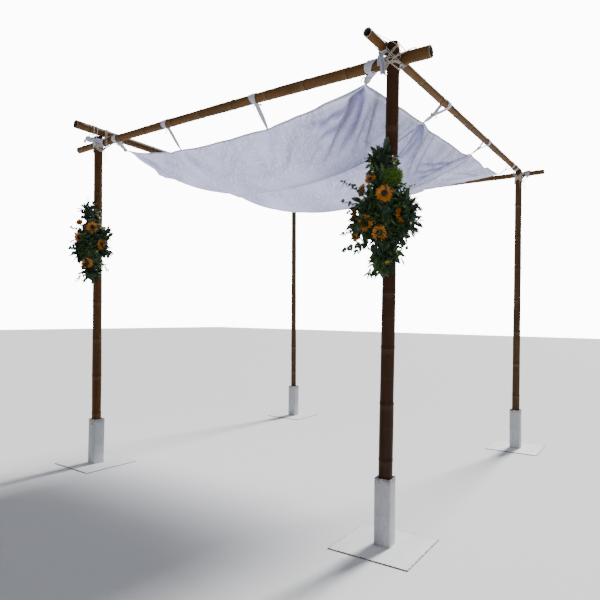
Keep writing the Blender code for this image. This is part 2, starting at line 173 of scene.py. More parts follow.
def sizes():
    return bpy.context.scene.chuppah_sizes


def colours():
    return bpy.context.scene.chuppah_colours


# Meshes

def grid_faces(rows, columns, wrap=False, start=0):
    """Quads of a grid of rows by columns of points, its columns joined end to end if wrap is set."""
    faces = []
    for row in range(rows - 1):
        for column in range(columns if wrap else columns - 1):
            right = (column + 1) % columns
            a = start + row * columns
            b = a + columns
            faces.append((a + column, a + right, b + right, b + column))
    return faces


class Shape:
    """Points, faces, finishes and grain of one piece, gathered part by part."""

    def __init__(self):
        self.points = []
        self.faces = []
        self.finishes = []
        self.grain = []
        self.ring = []

    def add(self, points, faces, grain=None, ring=None, finish=0):
        start = len(self.points)
        points = [tuple(p) for p in points]
        self.points += points
        self.faces += [tuple(start + i for i in face) for face in faces]
        self.finishes += [finish] * len(faces)
        self.grain += [tuple(g) for g in grain] if grain is not None else points
        self.ring += list(ring) if ring is not None else [1.0] * len(points)

    def make(self, name, materials, nodes=(), sharp=50.0):
        mesh = bpy.data.meshes.new(name)
        mesh.from_pydata(self.points, [], self.faces)
        mesh.polygons.foreach_set("material_index", self.finishes)
        grain = mesh.attributes.new("grain", "FLOAT_VECTOR", "POINT")
        grain.data.foreach_set("vector", np.array(self.grain, np.float32).ravel())
        ring = mesh.attributes.new("ring", "FLOAT", "POINT")
        ring.data.foreach_set("value", np.array(self.ring, np.float32))
        mesh.update()
        mesh.shade_smooth()
        mesh.set_sharp_from_angle(angle=math.radians(sharp))
        for finish in materials:
            mesh.materials.append(finish)
        item = bpy.data.objects.new(name, mesh)
        bpy.context.scene.collection.objects.link(item)
        return settle(item, nodes)


def settle(item, nodes=()):
    """Rides on the frame, and stands for its CAD nodes."""
    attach(item, BODY)
    if nodes:
        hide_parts(*nodes)
    return item


def frames_along(points, closed=False):
    """A steady pair of cross directions at each point of a path."""
    count = len(points)
    tangents = []
    for i in range(count):
        before = points[(i - 1) % count] if closed or i > 0 else points[i]
        after = points[(i + 1) % count] if closed or i < count - 1 else points[i]
        tangents.append((after - before).normalized())
    side = tangents[0].orthogonal().normalized()
    pairs = []
    for tangent in tangents:
        side = (side - tangent * side.dot(tangent)).normalized()
        pairs.append((side, tangent.cross(side)))
    return tangents, pairs


def add_tube(shape, points, radius, sides=6, closed=False, finish=0, taper=False):
    """A round strand along a path."""
    tangents, pairs = frames_along(points, closed)
    count = len(points)
    spots, grain, run = [], [], 0.0
    for i, point in enumerate(points):
        if i:
            run += (point - points[i - 1]).length
        side, across = pairs[i]
        thick = radius
        if taper:
            thick *= 1.0 - 0.6 * (i / (count - 1)) ** 3
        for step in range(sides):
            angle = 2 * math.pi * step / sides
            out = side * math.cos(angle) + across * math.sin(angle)
            spots.append(point + out * thick)
            grain.append((math.cos(angle), math.sin(angle), run))
    faces = grid_faces(count, sides, wrap=True)
    if closed:
        last = (count - 1) * sides
        faces += [(last + s, last + (s + 1) % sides, (s + 1) % sides, s) for s in range(sides)]
    else:
        faces.append(tuple(reversed(range(sides))))
        faces.append(tuple((count - 1) * sides + s for s in range(sides)))
    shape.add(spots, faces, grain, finish=finish)


def smooth_path(points, steps=6, closed=False):
    """A Catmull-Rom curve through the points."""
    count = len(points)
    path = []
    spans = count if closed else count - 1
    for i in range(spans):
        p0 = points[(i - 1) % count] if closed or i else points[0]
        p1 = points[i]
        p2 = points[(i + 1) % count]
        p3 = points[(i + 2) % count] if closed or i + 2 < count else points[-1]
        for step in range(steps):
            t = step / steps
            path.append(0.5 * (2 * p1 + (p2 - p0) * t + (2 * p0 - 5 * p1 + 4 * p2 - p3) * t * t
                               + (3 * p1 - p0 - 3 * p2 + p3) * t ** 3))
    if not closed:
        path.append(points[-1])
    return path


# Materials

def new_group(name, inputs, outputs):
    group = bpy.data.node_groups.new(name, "ShaderNodeTree")
    for label, kind, value in inputs:
        socket = group.interface.new_socket(label, in_out="INPUT", socket_type=kind)
        socket.default_value = value
    for label, kind in outputs:
        group.interface.new_socket(label, in_out="OUTPUT", socket_type=kind)
    return group


class Nodes:
    """Adds and joins shader nodes in a few words."""

    def __init__(self, tree):
        self.tree = tree

    def add(self, kind, inputs=None, **settings):
        node = self.tree.nodes.new(kind)
        for key, value in settings.items():
            setattr(node, key, value)
        for key, value in (inputs or {}).items():
            self.feed(node.inputs[key], value)
        return node

    def feed(self, socket, value):
        if isinstance(value, bpy.types.NodeSocket):
            self.tree.links.new(value, socket)
        elif isinstance(value, bpy.types.Node):
            self.tree.links.new(value.outputs[0], socket)
        else:
            socket.default_value = value

    def math(self, operation, *values, clamp=False):
        node = self.tree.nodes.new("ShaderNodeMath")
        node.operation = operation
        node.use_clamp = clamp
        for socket, value in zip(node.inputs, values):
            self.feed(socket, value)
        return node.outputs[0]

    def scaled(self, vector, scale):
        node = self.tree.nodes.new("ShaderNodeVectorMath")
        node.operation = "MULTIPLY"
        self.feed(node.inputs[0], vector)
        node.inputs[1].default_value = scale
        return node.outputs[0]

    def noise(self, vector, scale, detail=3.0, rough=0.55, distortion=0.0):
        return self.add("ShaderNodeTexNoise", {"Vector": vector, "Scale": scale, "Detail": detail,
                                               "Roughness": rough, "Distortion": distortion}).outputs["Fac"]

    def ramp(self, value, low, high):
        return self.add("ShaderNodeMapRange", {"Value": value, "From Min": low, "From Max": high}).outputs[0]

    def mix(self, share, first, second, blend="MIX"):
        node = self.tree.nodes.new("ShaderNodeMix")
        node.data_type = "RGBA"
        node.blend_type = blend
        self.feed(node.inputs["Factor"], share)
        self.feed(node.inputs[6], first)
        self.feed(node.inputs[7], second)
        return node.outputs[2]

    def attribute(self, name, output):
        return self.add("ShaderNodeAttribute", attribute_name=name).outputs[output]


def rgba(colour, gain=1.0):
    return (*[min(1.0, c * gain) for c in colour[:3]], 1.0)


def finish_group(name, inputs, build):
    """A node group that puts out a colour, a height, and a roughness where it varies."""
    found = bpy.data.node_groups.get(name)
    if found:
        return found
    rough = name in ROUGH_GROUPS
    outputs = [("Colour", "NodeSocketColor"), ("Height", "NodeSocketFloat")]
    if rough:
        outputs.append(("Roughness", "NodeSocketFloat"))
    group = new_group(name, inputs, outputs)
    kit = Nodes(group)
    source = group.nodes.new("NodeGroupInput").outputs
    target = group.nodes.new("NodeGroupOutput").inputs
    for label, value in zip(("Colour", "Height", "Roughness"), build(kit, source)):
        kit.feed(target[label], value)
    return group


def bamboo_skin(kit, source):
    """Long fibres, blotches and mould specks along the grain, with a pale and a dark line at each node."""
    grain = kit.attribute("grain", "Vector")
    ring = kit.attribute("ring", "Fac")
    fibre = kit.noise(kit.scaled(grain, (1.0, 1.0, 0.02)), 210.0, 4.0, 0.6)
    streak = kit.noise(kit.scaled(grain, (1.0, 1.0, 0.05)), 38.0, 3.0, 0.5)
    blotch = kit.noise(kit.scaled(grain, (1.0, 1.0, 0.30)), 14.0, 3.0, 0.6, 0.4)
    speck = kit.ramp(kit.noise(kit.scaled(grain, (1.0, 1.0, 0.45)), 130.0, 2.0, 0.5), 0.66, 0.74)
    body = kit.mix(kit.ramp(blotch, 0.32, 0.68), source["Dark"], source["Light"])
    body = kit.mix(kit.ramp(streak, 0.35, 0.75), body, source["Warm"])
    body = kit.mix(kit.math("MULTIPLY", kit.ramp(fibre, 0.40, 0.75), 0.45), body, source["Dark"])
    body = kit.mix(kit.math("MULTIPLY", speck, 0.55), body, (0.012, 0.008, 0.006, 1.0))
    waxy = kit.math("MULTIPLY", kit.ramp(kit.math("ABSOLUTE", kit.math("ADD", ring, 0.022)), 0.026, 0.004),
                    kit.ramp(blotch, 0.25, 0.6))
    body = kit.mix(kit.math("MULTIPLY", waxy, source["Wax"]), body, source["Pale"])
    line = kit.ramp(kit.math("ABSOLUTE", ring), 0.0045, 0.0008)
    body = kit.mix(kit.math("MULTIPLY", line, 0.8), body, (0.016, 0.009, 0.005, 1.0))
    roughness = kit.math("ADD", 0.34, kit.math("MULTIPLY", blotch, 0.34))
    height = kit.math("ADD", kit.math("MULTIPLY", fibre, 0.5), kit.math("MULTIPLY", streak, 0.7))
    return body, height, roughness


def bamboo_cut(kit, source):
    """Sawn fibres: a pale wall with dark pores, weathered darker towards the bore, and painted shade making the
    hollow near black.
    """
    grain = kit.attribute("grain", "Vector")
    pores = kit.noise(grain, 420.0, 2.0, 0.6)
    body = kit.mix(kit.ramp(pores, 0.42, 0.62), source["Light"], source["Dark"])
    # Weathering on the cut wall, then painted shade down the hollow, by the ring mark
    body = kit.mix(kit.attribute("ring", "Fac"), body, (0.008, 0.005, 0.003, 1.0))
    return body, pores


def twine_strands(kit, source):
    """Two plies wound round each other."""
    grain = kit.attribute("grain", "Vector")
    split = kit.add("ShaderNodeSeparateXYZ", {0: grain})
    angle = kit.math("ARCTAN2", split.outputs[1], split.outputs[0])
    turn = kit.math("ADD", kit.math("MULTIPLY", split.outputs[2], 620.0), angle)
    ply = kit.math("ADD", kit.math("MULTIPLY", kit.math("SINE", turn), 0.5), 0.5)
    fuzz = kit.noise(kit.scaled(grain, (1.0, 1.0, 90.0)), 2.4, 3.0, 0.6)
    body = kit.mix(ply, source["Dark"], source["Light"])
    body = kit.mix(kit.math("MULTIPLY", kit.ramp(fuzz, 0.45, 0.8), 0.5), body, source["Dark"])
    return body, kit.math("ADD", ply, kit.math("MULTIPLY", fuzz, 0.4))


def cotton_weave(kit, source):
    """Thin cotton: threads both ways with slubs, a faint watered ripple, and soft creases."""
    grain = kit.attribute("grain", "Vector")
    warp = kit.noise(kit.scaled(grain, (1.0, 0.045, 1.0)), source["Threads"], 2.0, 0.6)
    weft = kit.noise(kit.scaled(grain, (0.045, 1.0, 1.0)), source["Threads"], 2.0, 0.6)
    warp_fine = kit.add("ShaderNodeTexNoise", {"Vector": kit.scaled(grain, (1.0, 0.1, 1.0)), "Scale": 900.0})
    ripple = kit.add("ShaderNodeTexWave", {"Vector": grain, "Scale": 11.0, "Distortion": 12.0, "Detail": 2.0,
                                           "Detail Scale": 1.4}, wave_type="BANDS", bands_direction="DIAGONAL")
    patches = kit.ramp(kit.noise(grain, 2.6, 2.0, 0.5), 0.36, 0.58)
    crease = kit.noise(grain, 9.0, 3.0, 0.55, 0.6)
    watered = kit.math("MULTIPLY", kit.math("MULTIPLY", ripple.outputs["Fac"], patches), source["Ripple"])
    threads = kit.math("ADD", kit.math("MULTIPLY", warp, 0.5), kit.math("MULTIPLY", weft, 0.5))
    body = kit.mix(kit.ramp(threads, 0.30, 0.70), source["Shade"], source["Colour"])
    body = kit.mix(kit.math("MULTIPLY", watered, 0.50), body, source["Shade"])
    height = kit.math("ADD", kit.math("MULTIPLY", threads, 0.25), kit.math("MULTIPLY", watered, 1.0))
    height = kit.math("ADD", height, kit.math("MULTIPLY", crease, 0.8))
    height = kit.math("ADD", height, kit.math("MULTIPLY", warp_fine.outputs["Fac"], 0.05))
    return body, height


def brushed_paint(kit, source):
    """White gloss brushed one way over steel, chipped to dark steel and rust, and grimy at its edges; with Fade it
    darkens towards the top as painted shade.
    """
    place = kit.add("ShaderNodeTexCoord").outputs["Object"]
    brush = kit.noise(kit.scaled(place, (1.0, 0.06, 0.10)), source["Brush"], 3.0, 0.6)
    wide = kit.noise(kit.scaled(place, (1.0, 0.25, 0.4)), 14.0, 3.0, 0.6)
    chips = kit.ramp(kit.noise(kit.scaled(place, (1.0, 1.0, 1.0)), source["Chips"], 2.0, 0.45), 0.735, 0.75)
    wear = kit.attribute("ring", "Fac")
    edge = kit.math("MULTIPLY", wear, kit.ramp(kit.noise(place, 60.0, 3.0, 0.6), 0.38, 0.56))
    body = kit.mix(kit.ramp(wide, 0.30, 0.72), source["Shade"], source["Colour"])
    body = kit.mix(kit.math("MULTIPLY", kit.ramp(brush, 0.5, 0.8), 0.30), body, source["Shade"])
    # Painted shade: darker towards the top, as much as Fade asks
    height = kit.add("ShaderNodeSeparateXYZ", {0: place}).outputs[2]
    body = kit.mix(kit.math("MULTIPLY", kit.ramp(height, 0.03, 0.36), source["Fade"]), body, source["Shade"])
    bare_steel_and_edge_shade = kit.mix(kit.ramp(wide, 0.4, 0.6), (0.030, 0.028, 0.026, 1.0), (0.110, 0.050, 0.024, 1.0))
    body = kit.mix(kit.math("MAXIMUM", chips, kit.math("MULTIPLY", edge, 0.85)), body, bare_steel_and_edge_shade)
    roughness = kit.math("ADD", 0.42, kit.math("MULTIPLY", brush, 0.25))
    height = kit.math("SUBTRACT", kit.math("MULTIPLY", brush, 0.6), chips)
    return body, height, roughness


def leaf_blade(kit, source):
    """A blade from its base to its tip with a pale rib; grain holds across, along and a number of its own."""
    split = kit.add("ShaderNodeSeparateXYZ", {0: kit.attribute("grain", "Vector")})
    across, along, own = split.outputs
    rib = kit.ramp(kit.math("ABSOLUTE", across), 0.16, 0.02)
    veins = kit.math("SINE", kit.math("MULTIPLY", kit.math("ADD", along, kit.math("MULTIPLY",
                     kit.math("ABSOLUTE", across), -0.35)), 42.0))
    mottle = kit.noise(kit.attribute("grain", "Vector"), 3.0, 3.0, 0.6)
    body = kit.mix(own, source["Base"], source["Other"])
    body = kit.mix(kit.math("MULTIPLY", along, source["Fade"]), body, source["Tip"])
    body = kit.mix(kit.math("MULTIPLY", rib, source["Rib"]), body, source["Tip"])
    body = kit.mix(kit.math("MULTIPLY", mottle, 0.25), body, source["Base"])
    height = kit.math("ADD", kit.math("MULTIPLY", veins, 0.3), rib)
    return body, height


def seed_head(kit, source):
    """Packed seeds, brown at the rim and near black in the middle."""
    grain = kit.attribute("grain", "Vector")
    cells = kit.add("ShaderNodeTexVoronoi", {"Vector": grain, "Scale": 380.0}).outputs["Distance"]
    body = kit.mix(kit.attribute("ring", "Fac"), source["Dark"], source["Light"])
    body = kit.mix(kit.ramp(cells, 0.2, 0.7), body, (0.006, 0.004, 0.003, 1.0))
    return body, kit.math("SUBTRACT", 1.0, cells)


# Groups whose roughness changes over the surface
ROUGH_GROUPS = ("bamboo_skin", "brushed_paint")
COLOUR = "NodeSocketColor"
NUMBER = "NodeSocketFloat"
GREY = (0.5, 0.5, 0.5, 1.0)
GROUPS = {
    "bamboo_skin": (bamboo_skin, (("Dark", COLOUR, GREY), ("Light", COLOUR, GREY), ("Warm", COLOUR, GREY),
                                  ("Pale", COLOUR, GREY), ("Wax", NUMBER, 0.5))),
    "bamboo_cut": (bamboo_cut, (("Dark", COLOUR, GREY), ("Light", COLOUR, GREY))),
    "twine_strands": (twine_strands, (("Dark", COLOUR, GREY), ("Light", COLOUR, GREY))),
    "cotton_weave": (cotton_weave, (("Colour", COLOUR, GREY), ("Shade", COLOUR, GREY),
                                    ("Threads", NUMBER, 160.0), ("Ripple", NUMBER, 1.0))),
    "brushed_paint": (brushed_paint, (("Colour", COLOUR, GREY), ("Shade", COLOUR, GREY),
                                      ("Brush", NUMBER, 90.0), ("Chips", NUMBER, 30.0), ("Fade", NUMBER, 0.0))),
    "leaf_blade": (leaf_blade, (("Base", COLOUR, GREY), ("Other", COLOUR, GREY), ("Tip", COLOUR, GREY),
                                ("Fade", NUMBER, 0.3), ("Rib", NUMBER, 0.5))),
    "seed_head": (seed_head, (("Dark", COLOUR, GREY), ("Light", COLOUR, GREY))),
}


def material(name, group, values, bump=0.2, distance=0.001, **plain):
    """A Principled finish fed by one of the shared groups."""
    found = bpy.data.materials.get(name)
    if found:
        return found
    made = bpy.data.materials.new(name)
    made.use_nodes = True
    kit = Nodes(made.node_tree)
    shader = made.node_tree.nodes["Principled BSDF"]
    build, inputs = GROUPS[group]
    effect = kit.add("ShaderNodeGroup", node_tree=finish_group(group, inputs, build))
    for key, value in values.items():
        effect.inputs[key].default_value = value
    relief = kit.add("ShaderNodeBump", {"Height": effect.outputs["Height"], "Strength": bump,
                                        "Distance": distance})
    kit.feed(shader.inputs["Base Color"], effect.outputs["Colour"])
    if "Roughness" in effect.outputs:
        kit.feed(shader.inputs["Roughness"], effect.outputs["Roughness"])
    kit.feed(shader.inputs["Normal"], relief.outputs["Normal"])
    for key, value in plain.items():
        shader.inputs[key.replace("_", " ")].default_value = value
    return made


def bamboo(name, colour, pale=1.0, wax=0.5):
    return material(name, "bamboo_skin", {
        "Dark": rgba(colour, 0.55), "Light": rgba(colour, 1.45),
        "Warm": (min(1, colour[0] * 1.6), colour[1] * 1.35, colour[2] * 1.1, 1.0),
        "Pale": (0.20 * pale, 0.155 * pale, 0.095 * pale, 1.0), "Wax": wax}, 0.10, 0.0005,
        Specular_IOR_Level=0.14, Coat_Weight=0.02, Coat_Roughness=0.35)


def bamboo_finishes():
    tint = colours()
    brown, olive = tint.bamboo_brown, tint.bamboo_olive
    return {
        "brown": bamboo("bamboo_brown", brown, 0.5, 0.22),
        "tan": bamboo("bamboo_tan", [brown[0] * 2.1, brown[1] * 2.4, brown[2] * 1.8], 0.6, 0.25),
        "olive": bamboo("bamboo_olive", olive, 0.9, 0.26),
        "grey": bamboo("bamboo_grey", [olive[0] * 0.60, olive[1] * 0.70, olive[2] * 0.85], 0.8, 0.3),
        "cut": material("bamboo_cut", "bamboo_cut", {"Dark": (0.16, 0.10, 0.05, 1.0),
                                                     "Light": (0.52, 0.40, 0.24, 1.0)}, 0.4, 0.0008,
                        Roughness=0.8),
    }


def twine_finish():
    tone = colours().twine
    return material("hemp_twine", "twine_strands", {"Dark": rgba(tone, 0.42), "Light": rgba(tone, 1.15)},
                    0.9, 0.0009, Roughness=0.9)


def cotton_finish(name, shade, threads, ripple, bump, distance):
    # Painted shade: the ties and corner strips take the cotton darkened by this gain, a darker copy of the canopy's
    # cloth
    tone = [c * 0.82 for c in colours().cotton]
    return material(name, "cotton_weave", {"Colour": rgba(tone), "Shade": rgba(tone, shade),
                                           "Threads": threads, "Ripple": ripple}, bump, distance,
                    Roughness=0.88, Sheen_Weight=0.25, Sheen_Roughness=0.5, Specular_IOR_Level=0.25)


# The bamboo frame

class Culm:
    """A tapered culm whose axis passes through two crossings, with a slight bow between them."""

    def __init__(self, first, last, radius_first, radius_last, bow=0.0):
        self.first = first
        self.last = last
        self.radius_first = radius_first
        self.radius_last = radius_last
        self.bow = bow
        self.length = (last - first).length

    def point(self, distance):
        share = distance / self.length
        return self.first.lerp(self.last, share) + UP * 4.0 * self.bow * share * (1.0 - share)

    def radius(self, distance):
        return self.radius_first + (self.radius_last - self.radius_first) * distance / self.length

    def direction(self, distance):
        return (self.point(distance + 0.01) - self.point(distance - 0.01)).normalized()

    def nodes(self, start, end, offset, keep_clear):
        places = []
        place = start + offset
        while place < end - 0.05:
            if [spot for spot, reach in keep_clear if abs(place - spot) < reach]:
                place += 0.02
            else:
                places.append(place)
                place += NODE_PITCH
        return places


def corner_base(name):
    side = CORNERS[name]["side"]
    return CENTRE + Vector((side[0] * SPAN_X / 2, side[1] * SPAN_Y / 2, 0.0))


def post_axis(name, height):
    lean = Vector((*CORNERS[name]["lean"], 0.0))
    return corner_base(name) + lean * (height - LEAN_FOOT) / (LEAN_HEAD - LEAN_FOOT) + UP * height


def post_radius(name, height):
    corner = CORNERS[name]
    return corner["foot"] + (corner["head"] - corner["foot"]) * height / LEAN_HEAD


def lower_crossing(name):
    spot = post_axis(name, LOWER_AXIS[name])
    spot.y += post_radius(name, LOWER_AXIS[name]) + LOWER_RADIUS[name] + CROSSING_GAP
    return spot


def upper_crossing(name):
    spot = lower_crossing(name)
    spot.x = post_axis(name, LOWER_AXIS[name]).x + UPPER_INSET[name]
    spot.z += LOWER_RADIUS[name] + UPPER_RADIUS[name] + CROSSING_GAP
    return spot


def all_posts():
    return {name: Culm(post_axis(name, 0.0), post_axis(name, LEAN_HEAD), post_radius(name, 0.0),
                       post_radius(name, LEAN_HEAD)) for name in CORNERS}


def all_beams():
    low, up, thick, thin = (lower_crossing, upper_crossing, LOWER_RADIUS, UPPER_RADIUS)
    return {
        "lower_front": Culm(low("left"), low("front"), thick["left"], thick["front"], FRONT_BOW),
        "lower_rear": Culm(low("back"), low("right"), thick["back"], thick["right"]),
        "upper_left": Culm(up("left"), up("back"), thin["left"], thin["back"]),
        "upper_right": Culm(up("front"), up("right"), thin["front"], thin["right"]),
    }


CULM_AROUND = 36
WALL = 0.0085


def node_relief(gap):
    """The sheath scar, the groove and the ridge of a node, at a distance from it along the culm."""
    scar = 0.0017 * math.exp(-((gap + 0.0055) / 0.0022) ** 2)
    ridge = 0.0022 * math.exp(-((gap - 0.0055) / 0.0060) ** 2)
    groove = 0.0013 * math.exp(-(gap / 0.0022) ** 2)
    return scar + ridge - groove


def build_culm(name, culm, start, end, nodes, finish, hollow, cad, number):
    """A lathe-turned culm with nodes, a bud groove over every other node and open sawn ends."""
    draws = random.Random(100 + number)
    stations = {round(start + (end - start) * i / 60, 5) for i in range(61)}
    offsets = (-0.030, -0.018, -0.011, -0.008, -0.0055, -0.003, 0.0, 0.003, 0.0055, 0.009, 0.014, 0.022, 0.034)
    for place in nodes:
        stations = {s for s in stations if abs(s - place) > 0.036}
        stations |= {round(place + gap, 5) for gap in offsets if start < place + gap < end}
    stations = sorted(stations)
    phases = [draws.uniform(0, 6.28) for _ in range(4)]
    buds = {place: draws.uniform(0, 6.28) for place in nodes}
    shape = Shape()
    points, grain, rings = [], [], []

    def ring_at(distance, radius, relief=True):
        axis = culm.direction(distance)
        side = axis.cross(Vector((0.31, 0.55, 0.77))).normalized()
        across = axis.cross(side)
        middle = culm.point(distance)
        near = min(nodes, key=lambda place: abs(place - distance))
        gap = distance - near
        for step in range(CULM_AROUND):
            angle = 2 * math.pi * step / CULM_AROUND
            reach = radius
            if relief:
                reach += node_relief(gap)
                reach *= 1 + 0.007 * math.sin(2 * angle + phases[0] + distance)
                reach *= 1 + 0.004 * math.sin(3 * angle + phases[1] + 2 * distance)
                reach -= 0.0006 * (1 - math.cos(phases[2] + 9 * distance))
                above = distance - near
                if 0.008 < above < 0.2:
                    turn = math.atan2(math.sin(angle - buds[near]), math.cos(angle - buds[near]))
                    reach -= 0.0026 * math.exp(-(turn / 0.36) ** 2) * math.exp(-above / 0.10)
            out = side * math.cos(angle) + across * math.sin(angle)
            points.append(middle + out * reach)
            grain.append((math.cos(angle) * radius, math.sin(angle) * radius, distance + 7.3 * number))
            rings.append(gap)
        return len(points) // CULM_AROUND - 1

    for distance in stations:
        ring_at(distance, culm.radius(distance))
    count = len(stations)
    faces = grid_faces(count, CULM_AROUND, wrap=True)
    shape.add(points, faces, grain, rings)
    for label, place, inward, row in (("start", start, 1.0, 0), ("end", end, -1.0, count - 1)):
        outer = [Vector(p) for p in points[row * CULM_AROUND:(row + 1) * CULM_AROUND]]
        middle = culm.point(place)
        axis = culm.direction(place) * inward
        depth = hollow.get(label, 0.0)
        inner = culm.radius(place) - WALL
        # Each level: keep the outer point, sink along the axis, radius, and shade: weathering on the wall, painted
        # shade down the hollow
        levels = [(1.0, 0.0, None, 0.0)]
        if depth:
            levels += [(None, -0.0004, culm.radius(place) - 0.0012, 0.0), (None, -0.0003, inner + 0.0045, 0.05),
                       (None, -0.0001, inner + 0.0015, 0.45), (None, 0.0020, inner, 0.9),
                       (None, depth * 0.45, inner - 0.0006, 1.0),
                       (None, depth, inner - 0.0012, 1.0), (None, depth + 0.004, inner * 0.6, 1.0),
                       (None, depth + 0.006, inner * 0.2, 1.0)]
        else:
            levels += [(None, 0.0, culm.radius(place) * 0.6, 0.0), (None, 0.0, culm.radius(place) * 0.15, 0.0)]
        spots, marks, dark = [], [], []
        for keep, sink, radius, shade in levels:
            for spot in outer:
                out = spot - middle
                out -= axis * out.dot(axis)
                place_at = spot if keep else middle + out.normalized() * radius + axis * sink
                spots.append(place_at)
                marks.append(tuple(out.normalized() * (radius or out.length) + UP * sink))
                dark.append(shade)
        rows = len(levels)
        lids = grid_faces(rows, CULM_AROUND, wrap=True)
        last = (rows - 1) * CULM_AROUND
        lids.append(tuple(last + s for s in range(CULM_AROUND)))
        if inward > 0:
            lids = [tuple(reversed(face)) for face in lids]
        shape.add(spots, lids, marks, dark, finish=1)
    item = shape.make(name, (finish, bamboo_finishes()["cut"]), cad, sharp=38.0)
    weld(item)
    return item


def weld(item, distance=0.00002):
    """Joins points that lie on each other, and turns all faces outwards."""
    shape = bmesh.new()
    shape.from_mesh(item.data)
    bmesh.ops.remove_doubles(shape, verts=shape.verts, dist=distance)
    bmesh.ops.recalc_face_normals(shape, faces=shape.faces)
    shape.to_mesh(item.data)
    shape.free()


# Feet

def rounded_square(half, radius, steps=5):
    spots = []
    for quarter in range(4):
        cx = (half - radius) * (1 if quarter in (0, 3) else -1)
        cy = (half - radius) * (1 if quarter in (0, 1) else -1)
        for step in range(steps):
            angle = math.pi / 2 * (quarter + step / (steps - 1))
            spots.append((cx + radius * math.cos(angle), cy + radius * math.sin(angle)))
    return spots


def build_plate(name, finish, bare_steel_and_edge_shade):
    """A flame-cut plate with softened, worn edges and a top that isn't quite flat; its side faces take the second
    finish, near black as painted shade.
    """
    base = corner_base(name)
    turn = Matrix.Rotation(math.radians(PLATE_TURNS[name]), 3, "Z")
    half = PLATE_SIDE / 2
    marks = [-half, -half + 0.0012, -half + 0.006, -half + 0.014]
    marks += [-half + 0.014 + (PLATE_SIDE - 0.028) * i / 12 for i in range(1, 12)]
    marks += [half - 0.014, half - 0.006, half - 0.0012, half]
    count = len(marks)
    shape = Shape()
    for face_up in (True, False):
        spots, wear = [], []
        for y in marks:
            for x in marks:
                rim = half - max(abs(x), abs(y))
                z = PLATE_THICK if face_up else 0.0
                if rim < 0.0005:
                    z += -0.0012 if face_up else 0.0012
                spots.append(base + turn @ Vector((x, y, z)))
                wear.append(1.0 if rim < 0.002 else 0.0 if rim > 0.007 else 0.35)
        faces = grid_faces(count, count)
        if not face_up:
            faces = [tuple(reversed(face)) for face in faces]
        shape.add(spots, faces, spots, wear)
    rim = [i for i in range(count)]
    rim += [row * count + count - 1 for row in range(1, count)]
    rim += [count * (count - 1) + i for i in range(count - 2, -1, -1)]
    rim += [row * count for row in range(count - 2, 0, -1)]
    total = count * count
    # Side faces: the second finish, near black, painted shade
    for a, b in zip(rim, rim[1:] + rim[:1]):
        shape.faces.append((a, total + a, total + b, b))
        shape.finishes.append(1)
    item = shape.make(f"plate_{name}", (finish, bare_steel_and_edge_shade), (f"base_plate_{name}",), sharp=35.0)
    weld(item)
    return item


def build_sleeve(name, finish, bead):
    """A square tube with rounded corners and an open top, welded to its plate."""
    base = corner_base(name)
    turn = Matrix.Rotation(math.radians(CORNERS[name]["turn"]), 3, "Z")
    half = SLEEVE_SIDE / 2
    top = SLEEVE_FOOT + SLEEVE_HEIGHT
    outer = rounded_square(half, 0.0075)
    lip = rounded_square(half - 0.0008, 0.0070)
    bore = rounded_square(half - SLEEVE_WALL, 0.0040)
    bore_lip = rounded_square(half - SLEEVE_WALL + 0.0006, 0.0045)
    rows = [(outer, SLEEVE_FOOT)]
    rows += [(outer, SLEEVE_FOOT + SLEEVE_HEIGHT * i / 10) for i in range(1, 10)]
    rows += [(outer, top - 0.0009), (lip, top), (bore_lip, top), (bore, top - 0.0008)]
    rows += [(bore, top - 0.10), (bore, SLEEVE_FOOT + 0.02), (bore, SLEEVE_FOOT)]
    shape = Shape()
    spots, wear = [], []
    for outline, height in rows:
        for x, y in outline:
            spots.append(base + turn @ Vector((x, y, height)))
            wear.append(0.9 if abs(height - top) < 0.001 else 0.12)
    count = len(outer)
    faces = grid_faces(len(rows), count, wrap=True)
    last = (len(rows) - 1) * count
    faces += [(last + s, last + (s + 1) % count, (s + 1) % count, s) for s in range(count)]
    shape.add(spots, faces, spots, wear)
    around = []
    for x, y in rounded_square(half + 0.0012, 0.0085, 7):
        around.append(base + turn @ Vector((x, y, SLEEVE_FOOT + 0.0005)))
    draws = random.Random(40 + bead)
    path = []
    for a, b in zip(around, around[1:] + around[:1]):
        steps = max(1, int((b - a).length / 0.006))
        path += [a.lerp(b, i / steps) for i in range(steps)]
    tangents, pairs = frames_along(path, closed=True)
    spots, wear = [], []
    for i, point in enumerate(path):
        swell = 0.0034 + 0.0006 * math.sin(i * 1.9) + draws.uniform(-0.0003, 0.0003)
        out = (point - base)
        out.z = 0.0
        out.normalize()
        for step in range(7):
            angle = math.pi / 2 * step / 6
            spots.append(point - out * 0.001 + out * swell * math.cos(angle) + UP * swell * math.sin(angle))
            wear.append(0.15)
        spots.append(point - out * 0.003)
        wear.append(0.0)
    columns = 8
    faces = grid_faces(len(path), columns, wrap=True)
    last = (len(path) - 1) * columns
    faces += [(last + s, last + (s + 1) % columns, (s + 1) % columns, s) for s in range(columns)]
    shape.add(spots, faces, spots, wear)
    item = shape.make(f"sleeve_{name}", (finish,), (f"base_sleeve_{name}",), sharp=30.0)
    weld(item)
    return item


# Twine and ribbons

HULL_STEPS = 26
# Height of the lowest turn of twine that joins the front post to the beam beside its top
UPPER_TURNS = 3.050


